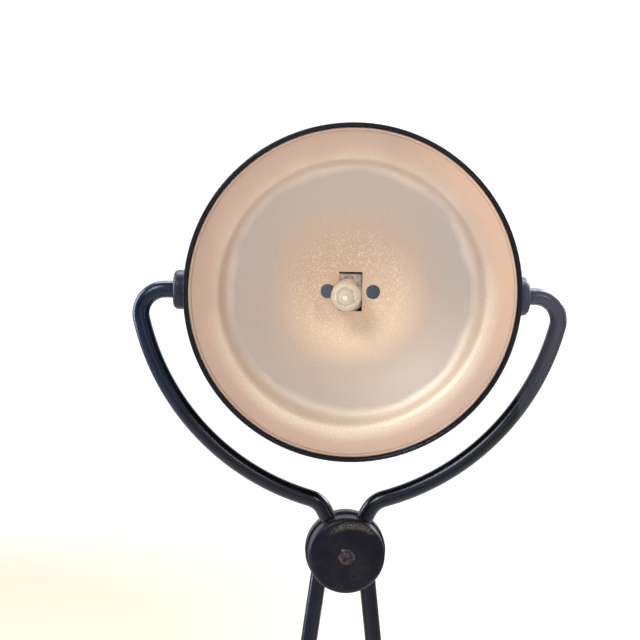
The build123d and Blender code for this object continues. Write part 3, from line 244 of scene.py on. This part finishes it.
def spun_aluminium(name="spun_aluminium"):
    """Spun aluminium, etched and anodised to a satin.

    It gives a soft, slightly rosy metal with faint spinning rings and a grainy middle, its tones
    partly painted reflection: warm near the bulb, cooler half way out, warm again on the flat outer
    band, with painted warm light below the bulb and on the right of the band, and painted glints
    and a painted highlight along the step.
    """
    material, shader, node, place = finish_of(name)
    local = about_shade_axis(node, place)
    radius = radius_about_y(node, local)
    low = node("VectorMath", local, (0.35, 0, -0.94), operation="DOT_PRODUCT")
    right = node("VectorMath", local, (0.92, 0, 0.38), operation="DOT_PRODUCT")

    # Tones by radius, partly painted reflection with a painted highlight at the step, their rings a little uneven,
    # and dark specks that thin out towards the rim
    shift = node("MapRange", node("TexNoise", local, per(30.0), 3.0), 0, 1, -6 * MM, 6 * MM)
    reach = node("MapRange", node("Math", radius, shift), 0, REFLECTOR_REACH)
    colour = node("ValToRGB", reach, stops=REFLECTOR_TINT_AND_REFLECTIONS)
    speckle = node("TexNoise", local, per(0.8), 4.0, 0.7)
    spots = node("MapRange", speckle, 0.5, 0.72)
    strong = node("MapRange", radius, 12 * MM, 52 * MM, 0.55, 0.16)
    colour = node("Mix", node("Math", spots, strong, **TIMES), colour, "b58f78", **COLOURS)

    # Painted warm light below the bulb and on the right of the flat band
    middle = node("MapRange", radius, 40 * MM, 26 * MM)
    downwards = node("MapRange", low, -20 * MM, 25 * MM)
    painted_warm_light = node("Math", node("Math", middle, downwards, **TIMES), 0.55, **TIMES)
    colour = node("Mix", painted_warm_light, colour, "ffe6c9", **COLOURS)
    outer = node("MapRange", radius, 66 * MM, 74 * MM)
    sideways = node("MapRange", right, 45 * MM, 80 * MM)
    painted_flank_light = node("Math", node("Math", outer, sideways, **TIMES), 0.6, **TIMES)
    colour = node("Mix", painted_flank_light, colour, "ffdab9", **COLOURS)

    # Painted glints round the bulb and a painted highlight along the step, which is brighter on its lower side
    glints = node("MapRange", node("TexNoise", local, per(0.9), 3.0, 0.7), 0.52, 0.66)
    from_bulb = node("MapRange", radius, 10 * MM, 15 * MM)
    to_middle = node("MapRange", radius, 36 * MM, 24 * MM)
    inner = node("Math", node("Math", from_bulb, to_middle, **TIMES), 0.8, **TIMES)
    step = node("MapRange", gap_from(node, radius, REFLECTOR_STEP), 7.5 * MM, 0.5 * MM)
    edge = node("Math", step, node("MapRange", low, -15 * MM, 45 * MM), **TIMES)
    bright = node("Math", inner, edge)
    colour = node("Mix", node("Math", glints, bright, **TIMES), colour, "fff0d8", **COLOURS)
    colour = node("Mix", node("Math", edge, 0.62, **TIMES), colour, "fff0dc", **COLOURS)

    # Spinning rings under the etched grain.  They stand 2 pi * 1.1 = 6.9 mm apart, coarser than the
    # lathe's own marks, which are too fine to show.
    spinning = {"wave_type": "RINGS", "rings_direction": "Y"}
    rings = node("TexWave", local, per(1.1) / 20, 0.6, 2.0, out="Fac", **spinning)
    spun = node("Bump", 0.25, 0.012 * MM, None, rings)
    wire(
        shader,
        Base_Color=colour,
        Roughness=node("MapRange", speckle, 0, 1, 0.5, 0.66),
        Normal=node("Bump", 0.3, 0.03 * MM, None, speckle, spun),
        Metallic=0.75,
        Specular_IOR_Level=0.3,
    )
    return material


def quartz_glass(name="quartz_glass"):
    """Fused quartz tube of a small halogen bulb, pinched shut at its foot.

    It gives a painted bright pip and a clearer middle, inside broken white arcs of painted highlight
    where the dome turns, and a milky, cream side with painted light and dark rings of reflection.
    """
    material, shader, node, place = finish_of(name)
    bulb_turn = bulb_way.to_track_quat("Y", "Z").to_euler()
    local = node("Mapping", place, bulb_tip, bulb_turn, **CENTRED)
    drift = node("MapRange", node("TexNoise", local, per(1.4), 2.0), 0, 1, -0.6 * MM, 0.6 * MM)
    radius = node("Math", radius_about_y(node, local), drift)
    outwards = node("MapRange", radius, 0, BULB_REACH)
    # Broken white arcs where the dome turns: painted highlight
    turning = node("MapRange", gap_from(node, outwards, 0.6), 0.04, 0.015)
    broken = node("MapRange", node("TexNoise", local, per(4.0), 1.0), 0.42, 0.5)
    arcs = node("Math", turning, broken, **TIMES)
    tone = node("ValToRGB", outwards, stops=BULB_TINT_AND_REFLECTIONS)
    clear = node("ValToRGB", outwards, stops=BULB_CLEARNESS)
    wire(
        shader,
        Base_Color=node("Mix", arcs, tone, "ffffff", **COLOURS),
        Transmission_Weight=node("Mix", arcs, clear, "101010", **COLOURS),
        Roughness=node("MapRange", node("TexNoise", place, per(5.0), 3.0), 0, 1, 0.04, 0.16),
        Normal=node("Bump", 0.3, 0.04 * MM, None, node("TexNoise", place, per(2.4), 1.0)),
        IOR=1.458,
    )
    return material


def machined(name, light, dark, lines=0.25, rough=(0.24, 0.4), stain=None, stained=0.4):
    """Turned or plated metal.

    It gives fine tool lines, a soft mottle from plating or handling and, where there is a stain,
    blotches of it that dull the shine.
    """
    material, shader, node, place = finish_of(name)
    mottle = node("TexNoise", place, per(2.5), 4.0)
    colour = node("ValToRGB", mottle, stops=((0.35, dark), (0.65, light)))
    gloss = node("MapRange", mottle, 0, 1, *rough)
    if stain:
        blotches = node("TexNoise", place, per(1.1), 5.0, 0.65)
        patch = node("MapRange", blotches, 0.46, 0.64, 0, stained)
        colour = node("Mix", patch, colour, stain, **COLOURS)
        gloss = node("Math", gloss, patch)
    marks = node("Bump", 0.3, 0.01 * MM, None, node("TexNoise", place, per(lines), 2.0))
    wire(shader, Base_Color=colour, Roughness=gloss, Normal=marks, Metallic=1.0)
    return material


def plain_moulding(name, light, dark, grain, rough, bump=0.03):
    """Moulded, pressed or fired insulating material with no metal in it.

    It gives a slight cloudiness of colour and a surface grain of the size of its die or its grit.
    """
    material, shader, node, place = finish_of(name)
    grit = node("TexNoise", place, per(grain), 3.0)
    cloud = node("TexNoise", place, per(grain * 8), 3.0)
    wire(
        shader,
        Base_Color=node("ValToRGB", cloud, stops=((0.35, dark), (0.65, light))),
        Roughness=node("MapRange", grit, 0, 1, rough - 0.08, rough + 0.08),
        Normal=node("Bump", 0.5, bump * MM, None, grit),
    )
    return material


def tape_winding(name="polyester_tape"):
    """Polyester tape wound round and round a toroid, each turn half over the last.

    It gives straw-yellow bands that radiate from the middle, each with a darker overlapped edge.
    """
    material, shader, node, place = finish_of(name)
    turn = node("TexGradient", place, out="Fac", gradient_type="RADIAL")
    lap = node("Math", node("Math", turn, TAPE_TURNS, **TIMES), operation="FRACT")
    wire(
        shader,
        Base_Color=node("ValToRGB", lap, stops=((0.0, "8a6f22"), (0.1, "c9a53c"), (0.9, "d8b651"))),
        Normal=node("Bump", 0.6, 0.2 * MM, None, lap),
        Roughness=0.38,
    )
    return material


def braided_sleeve(name="braided_glass_sleeve"):
    """Silicone-coated sleeve braided from glass yarn, for a lead that runs hot.

    It gives an off-white cord with two sets of yarn that cross every 0.8 mm, drawn as a checked
    relief.
    """
    material, shader, node, place = finish_of(name)
    weave = node("TexChecker", place, "dcd8cc", "bdb8aa", per(0.8)).node.outputs
    crossing = node("Bump", 0.6, 0.15 * MM, None, weave["Fac"])
    wire(shader, Base_Color=weave["Color"], Normal=crossing, Roughness=0.6)
    return material


# How far from the middle plane the painted reflection starts, on the rods and on the pivot bosses
ROD_REFLECTION_FROM, BOSS_REFLECTION_FROM = 85 * MM, 80 * MM
# Band of dust and painted highlight on the wrist's front disc: its middle from the wrist, and its radius
DUST_AND_HIGHLIGHT_MIDDLE, DUST_AND_HIGHLIGHT_RADIUS = (2.5 * MM, 0, 1 * MM), 14.8 * MM
TAPE_TURNS = 34.0  # laps of tape round the toroid
REFLECTOR_STEP = 66.5 * MM  # inner edge of the flat outer band, at the top of the step
REFLECTOR_REACH = 84 * MM  # radius at which its tones end
# Tones from the axis out, partly painted reflection; the light pair at 0.745 and 0.79 is a painted highlight along
# the step
REFLECTOR_TINT_AND_REFLECTIONS = (
    (0.0, "dfc1a7"),
    (0.17, "dcbfa6"),
    (0.3, "dbbfa7"),
    (0.42, "d6c0ae"),
    (0.54, "cdbfb3"),
    (0.7, "cbbeb3"),
    (0.745, "e4d5c7"),
    (0.79, "e2ceba"),
    (0.86, "d9bda9"),
    (0.95, "d0b5a4"),
)
CAP = 2 * MM  # thickness of the rear cap
# Ends of the bulb's axis: sideways, back and up from the pivot
BULB_TIP = (-4.2 * MM, -11.5 * MM, -2.0 * MM)
BULB_FOOT = (-1.2 * MM, 15.5 * MM, -0.4 * MM)
BULB_REACH = 8 * MM  # radius at which its tones end
# Tones of the glass from its axis out: a painted bright pip, then painted light and dark rings of reflection in
# the dome
BULB_TINT_AND_REFLECTIONS = (
    (0.0, "ffd29a"),
    (0.05, "fff4da"),
    (0.13, "fbeed8"),
    (0.22, "dccab2"),
    (0.3, "f3e6d2"),
    (0.4, "e4d5c0"),
    (0.54, "ddccb6"),
    (0.57, "c9b79f"),
    (0.68, "f0dec4"),
    (0.75, "f0dec4"),
    (0.77, "c2ae94"),
    (0.8, "fbeeda"),
    (0.85, "dcc9b0"),
)
# How clear the bulb is from its axis outwards: white is clear
BULB_CLEARNESS = ((0.0, "202020"), (0.2, "303030"), (0.35, "505050"), (0.55, "505050"), (0.66, "383838"))
lip = box_in_head("shade_shell", pivot)[0][1]
lip_centre = in_head(0, lip, 0, pivot)
cap_face = box_in_head("rear_cap", pivot)[1][1] - lip - CAP
bulb_tip = in_head(*BULB_TIP, pivot)
bulb_way = in_head(*BULB_FOOT, pivot) - bulb_tip

finishes = {
    "rod_black": lacquer("lacquered_rod", "050609", "0b0e17", 14.0, 0.9, (0.2, 0.28), 0.42),
    "shade_black": lacquer("lacquered_shade", "05080e", "0e131f", 22.0, 1.2, painted_light_strip=True),
    "base_black": lacquer("lacquered_base", "08090f", "11131c", 25.0, 0.7, (0.4, 0.55)),
    "clutch_black": moulded_nylon(),
    "reflector_satin": spun_aluminium(),
    "bulb_glass": quartz_glass(),
    "filament_tungsten": machined("drawn_tungsten", "8d8a86", "5f5d5b", 0.1, (0.35, 0.5)),
    "holder_ceramic": plain_moulding("steatite", "e6dfcd", "d3cab5", 0.35, 0.55, 0.06),
    "bracket_steel": machined("nickel_plate", "e2d2c0", "c4b3a0", 0.4, (0.35, 0.5), "a08468", 0.25),
    "bright_steel": machined("zinc_plate", "c9cbcc", "a5a8ab", 0.25),
    "aged_steel": machined("worn_plate", "6c656a", "3a3337", 0.3, (0.35, 0.5), "4a2a2d", 0.5),
    "brass": machined("turned_brass", "d8b56a", "b8924a", 0.2),
    "bush_nylon": plain_moulding("natural_nylon", "e6e1d3", "d6d0c0", 0.3, 0.45),
    "friction_fibre": plain_moulding("pressed_fibre", "7a4f36", "5a3826", 0.5, 0.8, 0.1),
    "lead_sleeve": braided_sleeve(),
    "pad_rubber": plain_moulding("foot_rubber", "2a2a2b", "1c1c1d", 0.5, 0.85, 0.08),
    "plate_steel": machined("passivated_sheet", "b9b7ae", "97958c", 0.5, (0.3, 0.5)),
    "ballast_iron": plain_moulding("cast_iron", "4b4b4c", "303032", 0.9, 0.7, 0.2),
    "transformer_wrap": tape_winding(),
    "white_plastic": plain_moulding("polyamide_block", "ecebe4", "dedcd2", 0.4, 0.4),
    "trim_black": plain_moulding("moulded_trim", "1d1d20", "151517", 0.3, 0.5),
    "rocker_black": plain_moulding("polished_rocker", "17171a", "101012", 0.8, 0.22, 0.01),
}
slot_of = {part["node"]: part["material_slot"] for part in frame["record"]["subparts"]}
for name, cad_node in frame["nodes"].items():
    cad_node.data.materials.clear()
    cad_node.data.materials.append(finishes[slot_of[name]])


# ---- Surfaces ----------------------------------------------------------------------------------


def sheet_faces(rows, columns, around=True):
    """Quads of a grid of rows by columns, whose columns close on themselves when it goes around."""
    row, column = np.meshgrid(
        np.arange(rows - 1), np.arange(columns if around else columns - 1), indexing="ij"
    )
    beside = (column + 1) % columns
    corners = (
        row * columns + column,
        row * columns + beside,
        (row + 1) * columns + beside,
        (row + 1) * columns + column,
    )
    return np.stack(corners, axis=-1).reshape(-1, 4)


def outside_first(points, faces):
    """Faces turned to point outwards, which gives a closed surface a positive volume."""
    points = np.asarray(points)
    fans = [(face[0], face[k], face[k + 1]) for face in faces for k in range(1, len(face) - 1)]
    triangles = np.array(fans)
    a, b, c = (points[triangles[:, corner]] for corner in range(3))
    volume = np.einsum("ij,ij->i", a, np.cross(b, c)).sum()
    return faces if volume > 0 else [face[::-1] for face in faces]


def make_piece(name, points, faces, slot, body, nodes=()):
    """Mesh object from arrays of points and faces, with its finish, its body and what it replaces."""
    mesh = bpy.data.meshes.new(name)
    mesh.from_pydata(np.asarray(points).tolist(), [], outside_first(points, faces))
    mesh.polygons.foreach_set("use_smooth", [True] * len(mesh.polygons))
    mesh.set_sharp_from_angle(angle=math.radians(35))
    mesh.materials.append(finishes[slot])
    piece = bpy.data.objects.new(name, mesh)
    bpy.context.scene.collection.objects.link(piece)
    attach(piece, body)
    if nodes:
        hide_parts(*nodes)
    return piece


def lathe(radii, lengths, start, way, turns=96, ripple=None):
    """Points and faces of a body of revolution about an axis, closed at both ends.

    A point at length t and turn a sits at start + t * way + r(t) * (cos a * side + sin a * other);
    ripple(a, t) may be added to its radius.
    """
    way = Vector(way).normalized()
    side = way.orthogonal().normalized()
    other = way.cross(side)
    angle = np.linspace(0, 2 * math.pi, turns, endpoint=False)[None, :]
    radii, lengths = (np.asarray(values, float)[:, None] for values in (radii, lengths))
    reach = radii + (ripple(angle, lengths) if ripple else 0 * angle)
    points = (
        np.array(start)
        + lengths[..., None] * np.array(way)
        + (reach * np.cos(angle))[..., None] * np.array(side)
        + (reach * np.sin(angle))[..., None] * np.array(other)
    ).reshape(-1, 3)
    faces = sheet_faces(len(radii), turns).tolist()
    last = (len(radii) - 1) * turns
    faces.append(list(range(turns))[::-1])
    faces.append(list(range(last, last + turns)))
    return points, faces


def tube(path, radius, sides=12):
    """Points and faces of a round tube carried along a path of points, closed at both ends.

    At each point of the path, a circle stands across the path's own direction, and its start is
    turned as little as it can be from the circle before.
    """
    path = np.asarray(path, float)
    ahead = np.gradient(path, axis=0)
    ahead /= np.linalg.norm(ahead, axis=1)[:, None]
    side = np.array(Vector(ahead[0]).orthogonal().normalized())
    sides_along = []
    for way in ahead:
        side = side - way * (side @ way)
        side = side / np.linalg.norm(side)
        sides_along.append(side)
    across_path = np.array(sides_along)
    beside = np.cross(ahead, across_path)
    angle = np.linspace(0, 2 * math.pi, sides, endpoint=False)
    radius = np.broadcast_to(radius, len(path))[:, None, None]
    cosine, sine = np.cos(angle)[None, :, None], np.sin(angle)[None, :, None]
    ring = cosine * across_path[:, None] + sine * beside[:, None]
    points = (path[:, None] + radius * ring).reshape(-1, 3)
    faces = sheet_faces(len(path), sides).tolist()
    last = (len(path) - 1) * sides
    faces.append(list(range(sides))[::-1])
    faces.append(list(range(last, last + sides)))
    return points, faces


def join(*shapes):
    """One set of points and faces from several."""
    points, faces, count = [], [], 0
    for shape_points, shape_faces in shapes:
        points.append(shape_points)
        faces.extend([[index + count for index in face] for face in shape_faces])
        count += len(shape_points)
    return np.concatenate(points), faces


# ---- Filament ----------------------------------------------------------------------------------


def middle_of(points):
    """Middle of the box round some points."""
    return (points.min(0) + points.max(0)) / 2


def filament():
    """Coiled tungsten wire across the bulb, on two straight legs out of the pinch.

    The coil's middle line is a helix: at turn a it stands at radius * (cos a, sin a) across the
    coil's axis and a / 2 pi pitches along it.  Each leg runs straight from the pinch to the coil.
    """
    points = points_of("bulb_filament").astype(float)
    depth = points @ np.array(head_back)
    feet = points[depth > depth.max() - 1.2 * MM]
    split = middle_of(feet)[0]
    foot = [middle_of(feet[feet[:, 0] < split]), middle_of(feet[feet[:, 0] > split])]
    apart = np.linalg.norm(foot[1] - foot[0])
    way = (foot[1] - foot[0]) / apart
    up = np.array(head_up)
    back = np.cross(up, way)
    depth = points @ back
    centre = middle_of(points[depth < depth.min() + 1.75 * MM])
    half, radius, pitch, gauge = 2.75 * MM, 0.7 * MM, 0.46 * MM, 0.15 * MM
    turn = np.linspace(0, 2 * math.pi * 2 * half / pitch, 16 * round(2 * half / pitch))[:, None]
    along = turn / (2 * math.pi) * pitch - half
    helix = centre + along * way + radius * (np.cos(turn) * up + np.sin(turn) * back)
    shapes = [tube(helix, gauge, 8)]
    for side, start in zip((-1, 1), foot):
        end = centre + side * apart / 2 * way
        shapes.append(tube(start + (end - start) * np.linspace(0, 1, 6)[:, None], 0.24 * MM, 12))
    points, faces = join(*shapes)
    make_piece("filament_coil", points, faces, "filament_tungsten", "shade", ["bulb_filament"])


# ---- Threads -----------------------------------------------------------------------------------

THREADED = 7 * MM  # length of thread at an end
BOLT_PITCH, AXLE_PITCH = 0.8 * MM, 1.0 * MM


def thread(angle, lengths, pitch, start, end):
    """Depth of a thread's groove: a triangle wave of length less turns, between two lengths."""
    phase = (lengths / pitch - angle / (2 * math.pi)) % 1
    depth = 0.55 * pitch * (1 - np.abs(2 * phase - 1))
    runs_in = np.clip((lengths - start) / pitch, 0, 1) * np.clip((end - lengths) / (0.3 * pitch), 0, 1)
    return -depth * runs_in


def steps(low, high, spacing):
    """Evenly spaced lengths from low to high."""
    return np.linspace(low, high, max(2, round((high - low) / spacing) + 1))


def wrist_bolt():
    """Socket-headed bolt of the wrist clutch, with a real thread where it stands out of its nut.

    Its outline goes from the socket's floor round the head and along the shank to the tip, and the
    socket's own radius is that of a hexagon: flats / cos of the angle from the nearest flat.
    """
    low, high = box_in_head("wrist_bolt")
    head_r, whole = high[0], high[1] - low[1]
    shank_r, head = 2.5 * MM, 4.8 * MM
    flats, rounding, chamfer = head_r / 2, 0.4 * MM, 0.5 * MM
    threaded = steps(whole - THREADED, whole - chamfer, 0.1 * MM)
    radii = [flats, flats, flats, flats + chamfer, head_r - rounding, head_r, head_r, shank_r]
    lengths = [head / 2, head / 2, 0.2 * MM, 0, 0, rounding, head, head]
    radii += [shank_r] * len(threaded) + [shank_r - chamfer]
    lengths += [*threaded, whole]

    def socket_and_thread(angle, t):
        """What the socket's corners add to the radius, and what the thread takes off it."""
        from_flat = (angle + math.pi / 6) % (math.pi / 3) - math.pi / 6
        hexagon = flats * (1 / np.cos(from_flat) - 1)
        in_socket = np.arange(len(t))[:, None] < 3
        return np.where(in_socket, hexagon, 0) + thread(angle, t, BOLT_PITCH, threaded[0], threaded[-1])

    points, faces = lathe(radii, lengths, in_head(0, high[1], 0), -head_back, 60, socket_and_thread)
    make_piece("wrist_bolt_threaded", points, faces, "aged_steel", "yoke", ["wrist_bolt"])


def axle(name, node, body):
    """Plain pin across the arm, with a thread and a chamfer at each end for its nut."""
    low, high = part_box(node)
    whole, radius = high.x - low.x, (high.z - low.z) / 2
    chamfer = 0.6 * MM
    left = steps(chamfer, THREADED, 0.12 * MM)
    right = steps(whole - THREADED, whole - chamfer, 0.12 * MM)
    radii = [radius - chamfer] + [radius] * (len(left) + len(right)) + [radius - chamfer]
    lengths = [0, *left, *right, whole]

    def both_threads(angle, t):
        """What the threads take off the radius, counted from each end."""
        grooved = AXLE_PITCH, whole - THREADED, whole - chamfer
        return thread(angle, whole - t, *grooved) + thread(angle, t, *grooved)

    start = Vector((low.x, (low.y + high.y) / 2, (low.z + high.z) / 2))
    points, faces = lathe(radii, lengths, start, across, 48, both_threads)
    make_piece(name, points, faces, "bright_steel", body, [node])


# ---- Foot --------------------------------------------------------------------------------------

GROOVE_SPACING = 5 * MM


def ribbed_pad():
    """Rubber pad under the base, with ring grooves moulded in its underside.

    Each groove goes 0.8 mm up over 0.3 mm of radius, stays level for 1.4 mm and comes down again.
    """
    low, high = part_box("base_pad")
    radius, top = high.x, high.z
    inner = np.arange(4 * MM, radius - 6 * MM, GROOVE_SPACING)
    groove = np.array((0, 0.3, 1.7, 2.0)) * MM
    depth = np.array((0, 0.8, 0.8, 0)) * MM
    radii = (inner[:, None] + groove).ravel()
    heights = np.tile(depth, len(inner))
    radii = [2 * MM, *radii, radius - 0.5 * MM, radius, radius, radius - 0.3 * MM, 5 * MM]
    heights = [0, *heights, 0, 0.5 * MM, top - 0.3 * MM, top, top]
    points, faces = lathe(radii, heights, (0, 0, low.z), (0, 0, 1), 160)
    make_piece("ribbed_foot_pad", points, faces, "pad_rubber", "base", ["base_pad"])


filament()
wrist_bolt()
axle("shoulder_axle_threaded", "shoulder_axle", "turret")
axle("elbow_axle_threaded", "elbow_axle", "lower_arm")
ribbed_pad()


# ---- Floor, light and camera -------------------------------------------------------------------


def pale_floor():
    """Flat disc of pale paper, wide enough to run past every view."""
    turns = np.linspace(0, 2 * math.pi, 96, endpoint=False)
    rim = np.column_stack((np.cos(turns), np.sin(turns), np.zeros_like(turns))) * FLOOR_RADIUS
    mesh = bpy.data.meshes.new("floor")
    mesh.from_pydata(rim.tolist(), [], [list(range(len(turns)))])
    floor = bpy.data.objects.new("floor", mesh)
    bpy.context.scene.collection.objects.link(floor)
    material, shader, node, place = finish_of("pale_paper")
    pale = node("ValToRGB", node("TexNoise", place, 1.5, 2.0), stops=((0.3, "c6c4c1"), (0.7, "cccac7")))
    from_spot = node("Mapping", place, WARM_SPOT, None, (WARM_RADIUS,) * 3, **CENTRED)
    near = node("TexGradient", from_spot, out="Fac", gradient_type="QUADRATIC_SPHERE")
    warm = node("MapRange", near, 0, 0.5, 0, 0.5)
    seen = node("LightPath", out="Is Camera Ray")
    wire(
        shader,
        Base_Color=node("Mix", warm, pale, "c4ab88", **COLOURS),
        Emission_Color=node("Mix", warm, "fffefc", "d9b68a", **COLOURS),
        Emission_Strength=node("Math", seen, FLOOR_GLOW, **TIMES),
        Roughness=1.0,
        Specular_IOR_Level=0.0,
    )
    mesh.materials.append(material)


def soft_box(name, place, aim, width, height, power, colour="ffffff"):
    """Rectangular soft light that faces a point."""
    lamp = bpy.data.lights.new(name, "AREA")
    lamp.shape = "RECTANGLE"
    lamp.size, lamp.size_y = width, height
    lamp.energy = power
    lamp.color = linear(colour)[:3]
    holder = bpy.data.objects.new(name, lamp)
    bpy.context.scene.collection.objects.link(holder)
    way = Vector(aim) - Vector(place)
    holder.matrix_world = Matrix.Translation(place) @ way.to_track_quat("-Z", "Y").to_matrix().to_4x4()


def surround():
    """White room, full behind the lamp and for the eye, and dimmer on the side that the shade faces."""
    world = bpy.data.worlds.new("white_room")
    world.use_nodes = True
    bpy.context.scene.world = world
    tree = world.node_tree
    way = add(tree, "SeparateXYZ", add(tree, "TexCoord", out="Generated"), out="Y")
    back = add(tree, "MapRange", way, -0.6, 0.5, ROOM_FRONT, ROOM_BACK)
    seen = add(tree, "LightPath", out="Is Camera Ray")
    level = add(tree, "Mix", seen, back, ROOM_SEEN, data_type="FLOAT")
    wire(tree.nodes["Background"], Color="ffffff", Strength=level)


def eye():
    """Camera at the height of the head, a little left of the shade's middle."""
    yaw, pitch, roll = (math.radians(angle) for angle in EYE_ANGLES)
    ahead = (
        across * math.sin(yaw) * math.cos(pitch)
        + head_back * math.cos(yaw) * math.cos(pitch)
        + head_up * math.sin(pitch)
    )
    level = across * math.cos(yaw) - head_back * math.sin(yaw)
    upright = level.cross(ahead)
    right = level * math.cos(roll) + upright * math.sin(roll)
    up = upright * math.cos(roll) - level * math.sin(roll)
    lens = bpy.data.cameras.new("eye")
    lens.sensor_width = 36.0
    lens.lens = EYE_LENS
    lens.clip_start, lens.clip_end = 0.05, 100.0
    camera = bpy.data.objects.new("eye", lens)
    bpy.context.scene.collection.objects.link(camera)
    turn = Matrix((right, up, -ahead)).transposed().to_4x4()
    camera.matrix_world = Matrix.Translation(in_head(*EYE_TARGET) - ahead * EYE_DISTANCE) @ turn
    bpy.context.scene.camera = camera


FLOOR_RADIUS = 40.0
FLOOR_GLOW = 0.75
ROOM_FRONT, ROOM_BACK, ROOM_SEEN = 0.0, 1.2, 1.2
WARM_SPOT, WARM_RADIUS = (-0.9, 2.0, 0), 2.2  # where warm light falls on the paper behind the lamp
EYE_ANGLES = (2.62, -4.86, 1.33)  # yaw, pitch and roll from the head's own directions, in degrees
EYE_TARGET = (-15.7 * MM, 0, 117.9 * MM)  # in the plane of the yoke's rods
EYE_DISTANCE = 0.55
EYE_LENS = 61.9

pale_floor()
surround()
# Each box's place, aim, width and height in metres, and its power in watts
soft_box("key", pivot + Vector((-0.7, -1.1, 0.9)), pivot, 0.6, 0.6, 14)
soft_box("hard", pivot + Vector((0.65, -1.3, 0.5)), pivot, 0.16, 0.16, 2.8, "fff3e4")
soft_box("front", pivot + Vector((0, -1.3, 0.15)), pivot, 0.8, 0.8, 2)
soft_box("top", pivot + Vector((0.1, 0.35, 1.1)), pivot, 1.4, 0.5, 24)
soft_box("rim_right", pivot + Vector((0.9, 0.6, 0.7)), wrist, 0.5, 0.8, 24)
soft_box("rim_left", pivot + Vector((-1.1, 0.25, 0.2)), pivot, 0.3, 1.2, 16, "e4eaff")
soft_box("low_left", pivot + Vector((-0.9, -0.6, -0.55)), pivot, 0.5, 0.5, 0.4, "a4b8ff")
soft_box("near_right", pivot + Vector((0.38, -0.36, -0.06)), pivot, 0.1, 0.35, 0.25, "f4ecff")
soft_box("housing", in_head(0, 34 * MM, 0, pivot), in_head(0, 60 * MM, 0, pivot), 0.045, 0.045, 0.0022)
eye()
bpy.context.scene.view_settings.view_transform = "Standard"
